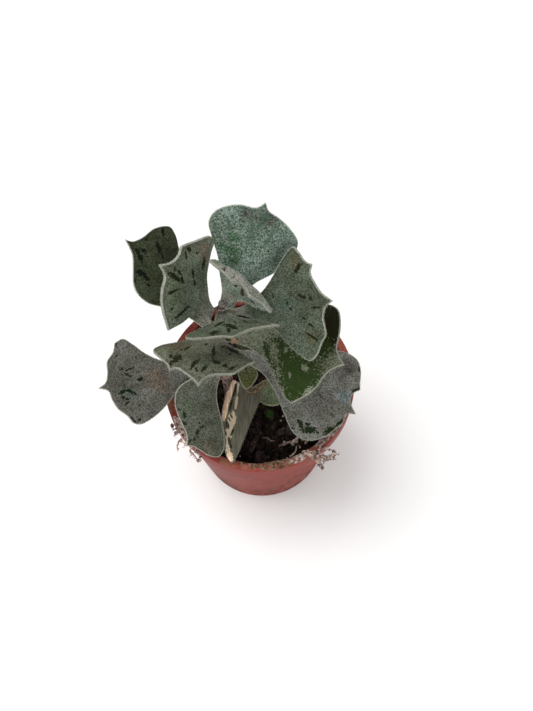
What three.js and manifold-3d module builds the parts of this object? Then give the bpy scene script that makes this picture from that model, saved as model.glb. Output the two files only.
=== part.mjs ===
import * as THREE from "three";
import { mergeVertices } from "three/addons/utils/BufferGeometryUtils.js";
import loadManifold from "manifold-3d";

// A small succulent in a round nursery pot: pot, soil, woody stem, and wedge-shaped leaves
// with toothed outer margins. Millimetres, +Z up. The origin is the middle of the pot's underside.

const wasm = await loadManifold();
wasm.setup();

// Pot
const POT_HEIGHT = 50;
const RIM_RADIUS = 27.5;
const BASE_RADIUS = 20;
const LIP_WIDTH = 2.4;
const LIP_DEPTH = 5.5;
const LIP_STEP = 1.1;
const WALL = 1.2;
const FLOOR = 1.6;
const EDGE = 0.6;
const POT_SEGMENTS = 48;
const DRAIN_RADIUS = 2.5;
const DRAIN_CIRCLE = 13;
const DRAIN_COUNT = 6;

// Soil
const SOIL_TOP = 40;
const SOIL_RINGS = 9;
const SOIL_SEGMENTS = 40;
const CHIP_COUNT = 24;
const CHIP_SEED = 7;
// Bark chips and sticks that lie on the soil: place, half length, half width and turn in degrees
const SOIL_BITS = [
  { at: [-0.5, -20.0], long: 1.6, wide: 0.7, turn: 10 },
  { at: [-2.4, -15.7], long: 2.4, wide: 1.0, turn: 60 },
  { at: [6.8, -16.8], long: 1.9, wide: 0.7, turn: 27 },
  { at: [10.3, -16.2], long: 1.2, wide: 0.6, turn: 5 },
  { at: [13.2, -15.4], long: 1.4, wide: 0.8, turn: -20 },
];

// Clear gap between pieces that touch on the plant
const SEAT_GAP = 0.3;

// Leaves
const LEAF_COLUMNS = 14;
const LEAF_ROWS = 8;
const LEAF_MIDDLE = 2.0;
const LEAF_MARGIN = 1.0;

// Stem: the path of its middle from below the soil to the growing tip, with its radius there
const STEM = [
  { at: [-8.3, -4.7, 24], radius: 1.5 },
  { at: [-8.3, -4.7, 38], radius: 1.7 },
  { at: [-8.6, -3.2, 47], radius: 1.6 },
  { at: [-9.1, -1.4, 56], radius: 1.5 },
  { at: [-9.5, -0.2, 65], radius: 1.4 },
  { at: [-10.0, 1.0, 74], radius: 1.3 },
  { at: [-10.1, 1.6, 82], radius: 1.2 },
  { at: [-9.2, 1.9, 90], radius: 1.0 },
  { at: [-8.5, 1.8, 94.5], radius: 0.7 },
];
const STEM_SIDES = 10;
const STEM_STEPS = 56;
const STEM_HOLE_RADIUS = 2.3;
const STEM_HOLE_DEPTH = 17;

// Side shoot: a thin twig from low on the stem
const TWIG = [
  { at: [-8.6, -3.4, 45.5], radius: 0.9 },
  { at: [-6.2, -2.8, 49.5], radius: 0.8 },
  { at: [-4.6, -1.6, 55], radius: 0.7 },
  { at: [-3.8, 0.9, 59.6], radius: 0.6 },
];

// Roots and mineral crust on the lip, as angle in degrees round the pot, radius and height
const LIP_SEAT = POT_HEIGHT + SEAT_GAP;
const ROOT_RADIUS = 0.45;
const ROOTS_RIGHT = [
  [[298, 25.6, 50.9], [301, 27.4, 51.1], [302, 29.2, 50.2], [302, 30.5, 48.5], [302.5, 31.4, 46.5]],
  [[300, 26.4, 51], [304, 28.6, 51], [308, 30.5, 50.2], [311.5, 31.8, 49.6]],
  [[302, 28.2, 51], [305, 30, 49.8], [309, 31, 48.4], [311, 31.6, 47.8]],
  [[301, 26.4, 51], [306, 27.2, 51.3], [310, 28.9, 51.2], [312, 30, 50.7]],
];
const ROOTS_LEFT = [
  [[209, 26.8, 50.9], [215, 27, 50.9], [220, 27, 51], [226, 26.9, 50.9], [232, 27, 50.9]],
  [[216, 27, 50.9], [217, 28.6, 50.3], [218.5, 28.9, 47.5], [219.5, 28.8, 45]],
  [[225, 27, 50.9], [225.5, 28.6, 50.1], [227, 28.8, 47], [230, 28.8, 45.6], [233, 28.8, 44.8]],
  [[210, 26.9, 50.9], [208.5, 28.6, 50.8], [209, 29.7, 50.2]],
  [[213, 27, 50.9], [213, 28.6, 50.6], [213.5, 29.7, 49.6]],
];
const CRUSTS = [
  { name: "crust_front", from: 262, to: 296, middle: 26.2, height: 0.8 },
  { name: "crust_right", from: 314, to: 342, middle: 26.2, height: 0.7 },
];

// A tiny round leaf that lies on the soil
const SEEDLING = { at: [2.7, -6.9], radius: 1.3, thickness: 0.8 };

// Colours
const COLOURS = {
  pot: 0xa8524a,
  soil: 0x2b211c,
  stem: 0x8a7468,
  greyGreen: 0x6f7f6a,
  blueGreen: 0x64807a,
  deepGreen: 0x33553a,
  greyBrown: 0x80796d,
  olive: 0x6b6f3a,
  dry: 0x9a8468,
  root: 0x6b5346,
  crust: 0xc9a183,
};

// Each leaf's outline is in its own plane, from the left of its base, round the margin, to the
// right of its base: x runs outward and y to the left. A point marked corner is where a side meets
// the outer margin, a tooth is a sharp point, and a cusp is both.
// height is where the leaf sits on the stem and seat its side of it. azimuth, rise and roll turn
// the blade, in degrees. curl lifts its end and cup its sides, and past hookFrom the end curls in
// by hook, all as 1 / mm. A leaf of the side shoot has the place of its base in at instead.
const LEAVES = [
  {
    name: "leaf_tip_rear", height: 92.5, seat: 60, azimuth: 14, rise: 63, roll: 40, curl: 0.01, cup: 0.02,
    colour: COLOURS.greyGreen, hookFrom: 11, hook: 0.8,
    outline: [
      [0, 1.0], [3.5, 2.6], [8, 5.3], [11.5, 7.2], [13.7, 8.2, "corner"], [14.3, 6.5], [14.2, 4.5],
      [14.7, 1, "tooth"], [14, -1.5], [14.5, -4.5, "tooth"], [14, -6.5], [13.5, -10.6, "cusp"],
      [10.5, -9.6], [7, -7.2], [4.5, -4.6], [2, -2.4], [0, -1.0],
    ],
  },
  {
    name: "leaf_tip_front", height: 92.5, seat: -80, azimuth: -76, rise: 28, roll: -4, curl: 0.03, cup: 0.01,
    colour: COLOURS.greyGreen,
    outline: [
      [0, 1.0], [2.9, 3.6], [6.2, 6.9], [9.5, 8.8], [12.4, 10.3], [15, 11.5, "cusp"], [13, 9.6],
      [12.1, 6], [12.4, 2.5], [13.8, 0, "tooth"], [12.4, -1.8], [12, -4], [11.6, -7],
      [11.4, -9.6], [9.8, -10.7, "corner"], [6.6, -8.5], [4.3, -5], [2.3, -2.2], [0, -1.0],
    ],
  },
  {
    name: "leaf_left_upper", height: 90, seat: 178, azimuth: 176, rise: 64, roll: -26, curl: 0, cup: 0,
    colour: COLOURS.greyGreen,
    outline: [
      [0, 1.2], [3.5, 1.6], [6.3, 3.6], [8.9, 7], [12, 10.5, "cusp"], [16.7, 7.5], [20.7, 3.4],
      [22.2, 0.5], [25.3, -0.8, "tooth"], [22.3, -3], [21.1, -5.7], [21.6, -7.8, "tooth"],
      [18.7, -10.6], [15.8, -13.6], [13.6, -15, "corner"], [11.5, -14.6], [10.8, -10.7],
      [8.7, -7.2], [6.5, -5], [3.3, -2.4], [0, -1.2],
    ],
  },
  {
    name: "leaf_right_upper", height: 89.5, seat: -5, azimuth: -7, rise: 24, roll: 31, curl: 0, cup: 0.01,
    colour: COLOURS.greyGreen,
    outline: [
      [0, 1.2], [4, 1.4], [7.5, 2.6], [10.3, 4.2], [14, 7.6], [17.6, 11.9], [21.2, 14.4, "corner"],
      [22.3, 13], [23.5, 10.5], [25.1, 9.5, "tooth"], [24.3, 7.5], [25.2, 4.9], [26.6, 2.2],
      [28.9, 0.1, "tooth"], [27, -1.2], [26.1, -3.6], [26.2, -8], [25.2, -9.5], [23.6, -12.3],
      [21.6, -13.8, "corner"], [19, -12.4], [16, -9], [13.2, -5.4], [9, -2.8], [4, -1.5], [0, -1.2],
    ],
  },
  {
    name: "leaf_rear", height: 82.5, seat: 62, azimuth: 62, rise: 38, roll: 22, curl: 0, cup: 0,
    colour: COLOURS.blueGreen,
    outline: [
      [0, 1.2], [5, 1.7], [10, 3.4], [15.5, 6.5], [20, 9.7], [23.5, 11.8, "corner"], [26.2, 11.4],
      [28.6, 9.2], [30.3, 5.9], [30.9, 1.7], [32.9, -0.2, "tooth"], [31.2, -1.6], [30.3, -4.6],
      [29, -7.8], [26, -11.5, "corner"], [22.5, -11.6], [18.8, -10], [15.6, -7.8], [12.2, -4.8],
      [7, -2.2], [0, -1.2],
    ],
  },
  {
    name: "leaf_front", height: 81.5, seat: -100, azimuth: -104, rise: 36, roll: 3, curl: 0, cup: 0,
    colour: COLOURS.greyGreen,
    outline: [
      [0, 1.2], [3, 3.4], [4.9, 5.4], [7, 8], [9.2, 10.6], [10.4, 11.9, "corner"], [12, 10.9],
      [14.7, 9.5], [17.2, 7.9], [18.1, 5.6], [19.6, 3.4], [21.8, 1.9], [25.1, 1.3, "tooth"],
      [23, -0.5], [20.3, -3.5], [18.8, -6.1], [20.1, -7.2, "tooth"], [17.3, -8.6], [15.2, -11.2],
      [13.2, -13.1], [11.2, -13.8, "corner"], [9.2, -12.6], [6.6, -9.3], [4.5, -6.6], [2.2, -3],
      [0, -1.2],
    ],
  },
  {
    name: "leaf_left_rear", height: 78.5, seat: 140, azimuth: 138, rise: 28, roll: 2, curl: 0, cup: 0,
    colour: COLOURS.deepGreen,
    outline: [
      [0, 1.2], [7, 2.4], [13.8, 5.6], [17, 7.6], [20.5, 8, "corner"], [23.2, 7], [26, 4.4],
      [28.8, 1.7], [30.8, 0.8], [33, 0.1, "tooth"], [31.4, -0.9], [30.3, -3.5], [29.7, -8],
      [27.4, -11.1, "corner"], [24.5, -10.7], [21.5, -8.9], [15, -5.5], [8, -2.6], [0, -1.2],
    ],
  },
  {
    name: "leaf_right_middle", height: 78, seat: -20, azimuth: -21, rise: 14, roll: 20, curl: 0, cup: 0,
    colour: COLOURS.deepGreen,
    outline: [
      [0, 1.2], [6, 3], [12, 6.2], [18, 10], [23.5, 13], [26.5, 13.6, "corner"], [28.8, 12.6],
      [30.2, 9], [30.6, 5.5], [30.6, 3], [31.6, 1.2], [33.6, -0.8, "tooth"], [30.8, -2.4],
      [28.9, -4.9], [28, -7.4], [26.5, -9.6], [24.2, -11.5], [22.2, -13.1, "cusp"], [20, -12],
      [17.4, -9.3], [14.7, -6.2], [11.6, -3.4], [8, -1.6], [3.4, -1], [0, -1.2],
    ],
  },
  {
    name: "leaf_right_lower", height: 70.5, seat: -24, azimuth: -23, rise: -16, roll: 20, curl: 0, cup: 0,
    colour: COLOURS.greyBrown,
    outline: [
      [0, 1.3], [6, 3.4], [12, 5.6], [18, 8.6], [24, 12], [29, 13.8], [33, 13.2, "corner"],
      [35.2, 10.8], [36.4, 7.9], [37.2, 6.2, "tooth"], [35.8, 4.4], [36, 2.2], [38.9, -0.3, "tooth"],
      [36.4, -1.6], [36.6, -4], [35.4, -6.8], [33.9, -9.4], [30.8, -12, "corner"], [28.1, -12.7],
      [25.2, -12], [21, -8.6], [16.4, -4.4], [11, -1.2], [6, -0.6], [0, -1.3],
    ],
  },
  {
    name: "leaf_left_lower", height: 60.5, seat: -170, azimuth: -170, rise: 6, roll: -19, curl: 0, cup: 0,
    colour: COLOURS.greyBrown,
    outline: [
      [0, 1.2], [6, 2.4], [12.7, 4.7], [16.9, 8.2], [19.6, 10], [23.6, 11.5, "corner"],
      [25.5, 10.9], [27, 8.6], [29, 6.6], [30.4, 3.6], [31, 1.2], [33.6, 0, "tooth"],
      [31.4, -1.4], [30.6, -3.8], [30.2, -7], [28.2, -9.4], [27.4, -11.8, "cusp"], [25, -12.6],
      [22.8, -11], [19.5, -7.8], [15.5, -5.2], [8, -2.4], [0, -1.2],
    ],
  },
  {
    name: "leaf_front_left", height: 66, seat: -112, azimuth: -118, rise: -22, roll: -16, curl: 0, cup: 0,
    colour: COLOURS.greyBrown,
    outline: [
      [0, 1.2], [3.5, 1.2], [7, 1.9], [9.8, 3.3], [13, 5.8], [17, 8.6], [21.2, 10.2, "corner"],
      [23.3, 9.6], [24, 7.2], [23.6, 4.2], [23.4, 2.2], [24, 0.4, "tooth"], [21.2, -0.8],
      [19.2, -2.9], [17, -5.4], [14.5, -7.3], [11.2, -8.2, "corner"], [9, -7.5], [6.3, -5.6],
      [3, -2.6], [0, -1.2],
    ],
  },
  {
    name: "leaf_dry", height: 56, seat: -60, azimuth: -90, rise: -7, roll: -32, curl: 0, cup: 0.02,
    colour: COLOURS.dry,
    outline: [
      [0, 1.2], [1.5, 4.5], [3.2, 8], [5.3, 9.9, "corner"], [9.6, 7.4], [14.6, 5], [19.7, 3.2],
      [23.8, -0.3, "tooth"], [21, -2.2], [17.9, -2.8], [12, -3.7, "corner"], [8.8, -3.4],
      [4.5, -2.3], [0, -1.2],
    ],
  },
  {
    name: "shoot_leaf_upper", at: [-3.6, 0.2, 61.2], azimuth: -86, rise: -10, roll: 0, curl: 0, cup: 0.03,
    colour: COLOURS.olive, middle: 1.4, columns: 8, rows: 5,
    outline: [
      [0, 0.7], [2, 1.9], [3.9, 2.8, "corner"], [5.5, 2.3], [6.9, 1], [7.6, -0.2, "tooth"],
      [6.6, -1.1], [4.6, -1.9, "corner"], [2.4, -1.9], [0, -0.7],
    ],
  },
  {
    name: "shoot_leaf_lower", at: [-5.6, -2.4, 47.6], azimuth: -6, rise: 3, roll: 0, curl: 0, cup: 0.03,
    colour: COLOURS.olive, middle: 1.4, columns: 8, rows: 5,
    outline: [
      [0, 0.8], [3, 1.4], [5.1, 2.6], [7.5, 4.2, "corner"], [10.5, 4], [12.4, 2], [13.4, 0, "tooth"],
      [12.6, -1.8], [11.2, -3.2], [9, -3.9, "corner"], [7, -3.6], [5.3, -2.4], [3.6, -1.2], [0, -0.8],
    ],
  },
];

// Turns a closed geometry into a solid: shared corners are merged and empty triangles dropped.
function toSolid(geometry) {
  const plain = geometry.clone();
  plain.deleteAttribute("normal");
  plain.deleteAttribute("uv");
  const merged = mergeVertices(plain, 1e-4);
  const corners = merged.index.array;
  const triVerts = [];
  for (let i = 0; i < corners.length; i += 3) {
    const [a, b, c] = [corners[i], corners[i + 1], corners[i + 2]];
    if (a !== b && b !== c && c !== a) {
      triVerts.push(a, b, c);
    }
  }
  const mesh = new wasm.Mesh({
    numProp: 3,
    vertProperties: new Float32Array(merged.attributes.position.array),
    triVerts: new Uint32Array(triVerts),
  });
  return new wasm.Manifold(mesh);
}

// Gives a solid's triangles back as a geometry.
function toGeometry(solid) {
  const mesh = solid.getMesh();
  const geometry = new THREE.BufferGeometry();
  geometry.setAttribute("position", new THREE.BufferAttribute(mesh.vertProperties, 3));
  geometry.setIndex(new THREE.BufferAttribute(mesh.triVerts, 1));
  return geometry;
}

function makeGeometry(vertices, triangles) {
  const geometry = new THREE.BufferGeometry();
  const numbers = vertices.flatMap((vertex) => [vertex.x, vertex.y, vertex.z]);
  geometry.setAttribute("position", new THREE.Float32BufferAttribute(numbers, 3));
  geometry.setIndex(triangles.flat());
  return geometry;
}

// A repeatable random draw between 0 and 1.
function seededRandom(seed) {
  let state = seed;
  return () => {
    state = (state * 1664525 + 1013904223) % 4294967296;
    return state / 4294967296;
  };
}

// Joins rings of equal count into a closed body, with a fan of triangles over each end.
function loft(rings) {
  const count = rings[0].length;
  const vertices = rings.flat();
  const triangles = [];
  for (let ring = 0; ring + 1 < rings.length; ring += 1) {
    for (let side = 0; side < count; side += 1) {
      const next = (side + 1) % count;
      const [a, b] = [ring * count + side, ring * count + next];
      triangles.push([a, b, b + count], [a, b + count, a + count]);
    }
  }
  for (const end of [0, rings.length - 1]) {
    const middle = new THREE.Vector3();
    rings[end].forEach((point) => middle.addScaledVector(point, 1 / count));
    vertices.push(middle);
    for (let side = 0; side < count; side += 1) {
      const [a, b] = [end * count + side, end * count + ((side + 1) % count)];
      triangles.push(end === 0 ? [b, a, vertices.length - 1] : [a, b, vertices.length - 1]);
    }
  }
  return makeGeometry(vertices, triangles);
}

// A round rod along stations of place and radius. bump(turn, along) scales the radius.
function rod(stations, sides, steps, bump = () => 1) {
  const path = new THREE.CatmullRomCurve3(stations.map(({ at }) => new THREE.Vector3(...at)));
  const frames = path.computeFrenetFrames(steps, false);
  const rings = [];
  for (let step = 0; step <= steps; step += 1) {
    const along = step / steps;
    const middle = path.getPointAt(along);
    const place = path.getUtoTmapping(along) * (stations.length - 1);
    const before = Math.min(Math.floor(place), stations.length - 2);
    const radius = THREE.MathUtils.lerp(stations[before].radius, stations[before + 1].radius, place - before);
    const ring = [];
    for (let side = 0; side < sides; side += 1) {
      const turn = (2 * Math.PI * side) / sides;
      const reach = radius * bump(turn, along);
      const point = middle.clone();
      point.addScaledVector(frames.normals[step], reach * Math.cos(turn));
      point.addScaledVector(frames.binormals[step], reach * Math.sin(turn));
      ring.push(point);
    }
    rings.push(ring);
  }
  return loft(rings);
}

// Where the stem's middle is at a height, with its radius there.
function stemAt(height) {
  const above = STEM.findIndex(({ at }) => at[2] >= height);
  const [low, high] = [STEM[above - 1], STEM[above]];
  const share = (height - low.at[2]) / (high.at[2] - low.at[2]);
  const middle = new THREE.Vector3(...low.at).lerp(new THREE.Vector3(...high.at), share);
  return { middle, radius: THREE.MathUtils.lerp(low.radius, high.radius, share) };
}

// A smooth line through points, as a list of closely spaced points.
function smoothLine(points) {
  const curve = new THREE.CatmullRomCurve3(points.map(([x, y]) => new THREE.Vector3(x, y, 0)));
  return curve.getPoints(6 * (points.length - 1));
}

// Points at equal distances along a line, both ends included.
function spaced(line, count) {
  const lengths = [0];
  for (let i = 1; i < line.length; i += 1) {
    lengths.push(lengths[i - 1] + line[i].distanceTo(line[i - 1]));
  }
  const total = lengths[lengths.length - 1];
  const points = [];
  let span = 1;
  for (let i = 0; i <= count; i += 1) {
    const wanted = (total * i) / count;
    while (span < line.length - 1 && lengths[span] < wanted) {
      span += 1;
    }
    const share = (wanted - lengths[span - 1]) / (lengths[span] - lengths[span - 1]);
    points.push(line[span - 1].clone().lerp(line[span], share));
  }
  return points;
}

function lineLength(line) {
  return line.slice(1).reduce((sum, point, i) => sum + point.distanceTo(line[i]), 0);
}

// Splits an outline into its left side, its outer margin and its right side. Each smooth stretch
// ends at a sharp point, and the margin is a list of stretches so that each tooth keeps its tip.
function splitOutline(outline) {
  const isSharp = ([, , mark]) => mark === "tooth" || mark === "cusp";
  const stretches = [];
  let start = 0;
  outline.forEach((point, i) => {
    if (i === outline.length - 1 || isSharp(point)) {
      const line = smoothLine(outline.slice(start, i + 1));
      stretches.push({ start, end: i, line });
      start = i;
    }
  });
  const isCorner = ([, , mark]) => mark === "corner" || mark === "cusp";
  const first = outline.findIndex(isCorner);
  const last = outline.findLastIndex(isCorner);
  const part = (from, to) =>
    stretches
      .map(({ start: begin, end, line }) => {
        const low = Math.max(from, begin);
        const high = Math.min(to, end);
        return high > low ? line.slice(6 * (low - begin), 6 * (high - begin) + 1) : [];
      })
      .filter((line) => line.length > 0);
  return {
    left: part(0, first).flatMap((line, i) => (i === 0 ? line : line.slice(1))),
    margin: part(first, last),
    right: part(last, outline.length - 1).flatMap((line, i) => (i === 0 ? line : line.slice(1))).reverse(),
  };
}

// Shares columns out among the margin's stretches by their length, at least two in each.
function marginPoints(stretches, columns) {
  const total = stretches.reduce((sum, line) => sum + lineLength(line), 0);
  const counts = stretches.map((line) => Math.max(2, Math.round((columns * lineLength(line)) / total)));
  return stretches.flatMap((line, i) => spaced(line, counts[i]).slice(i === 0 ? 0 : 1));
}

// One leaf blade in its own frame: a grid between the two sides, the base and the margin,
// lifted onto its curved face and given a thickness that falls from the middle to the margin.
function leafBlade(leaf) {
  const { outline, curl, cup, hook = 0, hookFrom = 0 } = leaf;
  const { middle: thick = LEAF_MIDDLE, columns = LEAF_COLUMNS, rows = LEAF_ROWS } = leaf;
  const { left, margin, right } = splitOutline(outline);
  const end = marginPoints(margin, columns);
  const leftSide = spaced(left, rows);
  const rightSide = spaced(right, rows);
  const across = end.length - 1;
  const [baseLeft, baseRight] = [leftSide[0], rightSide[0]];
  const [endLeft, endRight] = [leftSide[rows], rightSide[rows]];
  const top = [];
  const bottom = [];
  for (let row = 0; row <= rows; row += 1) {
    const v = row / rows;
    for (let column = 0; column <= across; column += 1) {
      const u = column / across;
      const blend = (axis) =>
        (1 - u) * leftSide[row][axis] + u * rightSide[row][axis] +
        (1 - v) * ((1 - u) * baseLeft[axis] + u * baseRight[axis]) + v * end[column][axis] -
        (1 - v) * ((1 - u) * baseLeft[axis] + u * baseRight[axis]) -
        v * ((1 - u) * endLeft[axis] + u * endRight[axis]);
      const [x, y] = [blend("x"), blend("y")];
      const past = Math.max(0, x - hookFrom);
      const middle = new THREE.Vector3(x, y, (curl * x * x + cup * y * y + hook * past * past) / 2);
      const normal = new THREE.Vector3(-curl * x - hook * past, -cup * y, 1).normalize();
      const fullness = (1 - Math.abs(2 * u - 1) ** 3) * (1 - v ** 5);
      const half = (LEAF_MARGIN + (thick - LEAF_MARGIN) * fullness) / 2;
      top.push(middle.clone().addScaledVector(normal, half));
      bottom.push(middle.clone().addScaledVector(normal, -half));
    }
  }
  const width = across + 1;
  const under = top.length;
  const triangles = [];
  const quad = (a, b, c, d) => triangles.push([a, b, c], [a, c, d]);
  for (let row = 0; row < rows; row += 1) {
    for (let column = 0; column < across; column += 1) {
      const a = row * width + column;
      triangles.push([a, a + 1, a + 1 + width], [a, a + 1 + width, a + width]);
      const b = a + under;
      triangles.push([b, b + 1 + width, b + 1], [b, b + width, b + 1 + width]);
    }
    const l = row * width;
    quad(l, l + width, l + width + under, l + under);
    const r = l + across;
    quad(r, r + under, r + width + under, r + width);
  }
  for (let column = 0; column < across; column += 1) {
    quad(column, column + under, column + 1 + under, column + 1);
    const e = rows * width + column;
    quad(e, e + 1, e + 1 + under, e + under);
  }
  return makeGeometry([...top, ...bottom], triangles);
}

// The blade's own axes: outward along the leaf, to its left, and up from its face.
function leafTurn(azimuth, rise, roll) {
  const [a, r, o] = [azimuth, rise, roll].map(THREE.MathUtils.degToRad);
  const outward = new THREE.Vector3(Math.cos(r) * Math.cos(a), Math.cos(r) * Math.sin(a), Math.sin(r));
  const up = new THREE.Vector3(-Math.sin(r) * Math.cos(a), -Math.sin(r) * Math.sin(a), Math.cos(r));
  const left = up.clone().cross(outward).multiplyScalar(Math.cos(o)).addScaledVector(up, Math.sin(o));
  const face = outward.clone().cross(left);
  return new THREE.Quaternion().setFromRotationMatrix(new THREE.Matrix4().makeBasis(outward, left, face));
}

function makeMesh(name, geometry, colour, roughness) {
  const material = new THREE.MeshStandardMaterial({ color: colour, roughness, metalness: 0 });
  const mesh = new THREE.Mesh(geometry, material);
  mesh.name = name;
  return mesh;
}

// The middle of a leaf's base, just clear of the stem's bark on the leaf's side of it.
function leafSeat({ height, seat, rise }) {
  const { middle, radius } = stemAt(height);
  const lean = (LEAF_MIDDLE / 2) * Math.abs(Math.sin(THREE.MathUtils.degToRad(rise)));
  const reach = radius + SEAT_GAP + lean;
  const side = THREE.MathUtils.degToRad(seat);
  return [middle.x + reach * Math.cos(side), middle.y + reach * Math.sin(side), height];
}

function makeLeaf(leaf) {
  const mesh = makeMesh(leaf.name, leafBlade(leaf), leaf.colour, 0.9);
  mesh.position.set(...(leaf.at ?? leafSeat(leaf)));
  mesh.quaternion.copy(leafTurn(leaf.azimuth, leaf.rise, leaf.roll));
  return mesh;
}

// Outer radius of the pot's wall below the lip.
function wallRadius(height) {
  const top = RIM_RADIUS - LIP_STEP;
  return BASE_RADIUS + ((top - BASE_RADIUS) * height) / (POT_HEIGHT - LIP_DEPTH);
}

function makePot() {
  const lipFoot = POT_HEIGHT - LIP_DEPTH;
  const innerRim = RIM_RADIUS - LIP_WIDTH;
  const profile = [
    [0, 0],
    [BASE_RADIUS - EDGE, 0],
    [wallRadius(EDGE), EDGE],
    [wallRadius(lipFoot), lipFoot],
    [RIM_RADIUS - EDGE / 2, lipFoot + EDGE / 2],
    [RIM_RADIUS, POT_HEIGHT - EDGE],
    [RIM_RADIUS - EDGE / 3, POT_HEIGHT - EDGE / 4],
    [RIM_RADIUS - EDGE, POT_HEIGHT],
    [innerRim + EDGE, POT_HEIGHT],
    [innerRim, POT_HEIGHT - EDGE],
    [wallRadius(lipFoot) - WALL, lipFoot],
    [wallRadius(FLOOR) - WALL, FLOOR],
    [0, FLOOR],
  ].map(([radius, height]) => new THREE.Vector2(radius, height));
  let solid = toSolid(new THREE.LatheGeometry(profile, POT_SEGMENTS).rotateX(Math.PI / 2));
  for (let i = 0; i < DRAIN_COUNT; i += 1) {
    const angle = (2 * Math.PI * i) / DRAIN_COUNT;
    const drill = new THREE.CylinderGeometry(DRAIN_RADIUS, DRAIN_RADIUS, 4 * FLOOR, 20).rotateX(Math.PI / 2);
    drill.translate(DRAIN_CIRCLE * Math.cos(angle), DRAIN_CIRCLE * Math.sin(angle), 0);
    solid = solid.subtract(toSolid(drill));
  }
  return makeMesh("pot", toGeometry(solid), COLOURS.pot, 0.45);
}

// Low swells and dips of the soil's surface.
function soilRelief(x, y) {
  const swell = 0.7 * Math.sin(0.31 * x + 0.8) * Math.cos(0.27 * y - 0.4);
  const lumps = 0.35 * Math.sin(0.9 * x - 0.6 * y) + 0.3 * Math.cos(0.7 * x + 1.1 * y);
  return swell + lumps;
}

function makeSoil() {
  const bottom = FLOOR + SEAT_GAP;
  const ringAt = (radius, height) => {
    const ring = [];
    for (let i = 0; i < SOIL_SEGMENTS; i += 1) {
      const angle = (2 * Math.PI * i) / SOIL_SEGMENTS;
      const [x, y] = [radius * Math.cos(angle), radius * Math.sin(angle)];
      ring.push(new THREE.Vector3(x, y, height ?? SOIL_TOP + soilRelief(x, y)));
    }
    return ring;
  };
  const outer = wallRadius(SOIL_TOP) - WALL - SEAT_GAP;
  const shrink = Math.cos(Math.PI / POT_SEGMENTS);
  const rings = [ringAt((wallRadius(bottom) - WALL - SEAT_GAP) * shrink, bottom)];
  for (let i = 0; i < SOIL_RINGS; i += 1) {
    rings.push(ringAt((outer * shrink - 0.2) * (1 - i / SOIL_RINGS)));
  }
  let solid = toSolid(loft(rings));
  const addChip = (x, y, long, wide, tall, turn) => {
    const chip = new THREE.IcosahedronGeometry(1, 0);
    chip.scale(long, wide, tall).rotateZ(turn);
    chip.translate(x, y, SOIL_TOP + soilRelief(x, y) + 0.2);
    solid = solid.add(toSolid(chip));
  };
  const random = seededRandom(CHIP_SEED);
  for (let i = 0; i < CHIP_COUNT; i += 1) {
    const away = 8 + (outer - 11) * Math.sqrt(random());
    const angle = 2 * Math.PI * random();
    const [long, wide, tall] = [0.9 + 1.0 * random(), 0.7 + 0.5 * random(), 0.6 + 0.3 * random()];
    addChip(away * Math.cos(angle), away * Math.sin(angle), long, wide, tall, Math.PI * random());
  }
  SOIL_BITS.forEach(({ at: [x, y], long, wide, turn }) => {
    addChip(x, y, long, wide, wide, THREE.MathUtils.degToRad(turn));
  });
  const [stemX, stemY] = STEM[0].at;
  const hole = new THREE.CylinderGeometry(STEM_HOLE_RADIUS, STEM_HOLE_RADIUS, 2 * STEM_HOLE_DEPTH, 20);
  hole.rotateX(Math.PI / 2).translate(stemX, stemY, SOIL_TOP);
  const pieces = solid.subtract(toSolid(hole)).decompose();
  const [body] = pieces.sort((a, b) => b.volume() - a.volume());
  return makeMesh("soil", toGeometry(body), COLOURS.soil, 1);
}

function aroundPot(angle, radius, height) {
  const turn = THREE.MathUtils.degToRad(angle);
  return new THREE.Vector3(radius * Math.cos(turn), radius * Math.sin(turn), height);
}

// Dry root threads that lie over the lip, joined where they cross.
function makeRoots(name, threads) {
  const solids = threads.map((thread) => {
    const stations = thread.map(([angle, radius, height], i) => ({
      at: aroundPot(angle, radius, height).toArray(),
      radius: ROOT_RADIUS * (1 - (0.3 * i) / (thread.length - 1)),
    }));
    return toSolid(rod(stations, 5, 10));
  });
  const joined = solids.reduce((sum, solid) => sum.add(solid));
  return makeMesh(name, toGeometry(joined), COLOURS.root, 1);
}

// A thin, uneven band of dried minerals along the top of the lip.
function makeCrust({ name, from, to, middle, height }) {
  const steps = Math.round((to - from) / 2);
  const rings = [];
  for (let step = 0; step <= steps; step += 1) {
    const angle = from + ((to - from) * step) / steps;
    const fade = 0.45 + 0.55 * Math.sin((Math.PI * step) / steps);
    const half = fade * (0.85 + 0.15 * Math.sin(1.9 * step));
    const tall = Math.max(0.6, height * (0.9 + 0.2 * Math.sin(2.6 * step)) * fade);
    rings.push([
      aroundPot(angle, middle - half, LIP_SEAT),
      aroundPot(angle, middle - 0.7 * half, LIP_SEAT + 0.8 * tall),
      aroundPot(angle, middle, LIP_SEAT + tall),
      aroundPot(angle, middle + 0.7 * half, LIP_SEAT + 0.8 * tall),
      aroundPot(angle, middle + half, LIP_SEAT),
    ]);
  }
  return makeMesh(name, loft(rings), COLOURS.crust, 1);
}

function makeSeedling() {
  const { at: [x, y], radius, thickness } = SEEDLING;
  const disc = new THREE.CylinderGeometry(radius, 0.8 * radius, thickness, 14).rotateX(Math.PI / 2);
  const mesh = makeMesh("seedling_leaf", disc, COLOURS.deepGreen, 0.8);
  mesh.position.set(x, y, SOIL_TOP + soilRelief(x, y) + SEAT_GAP + thickness / 2);
  return mesh;
}

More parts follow.
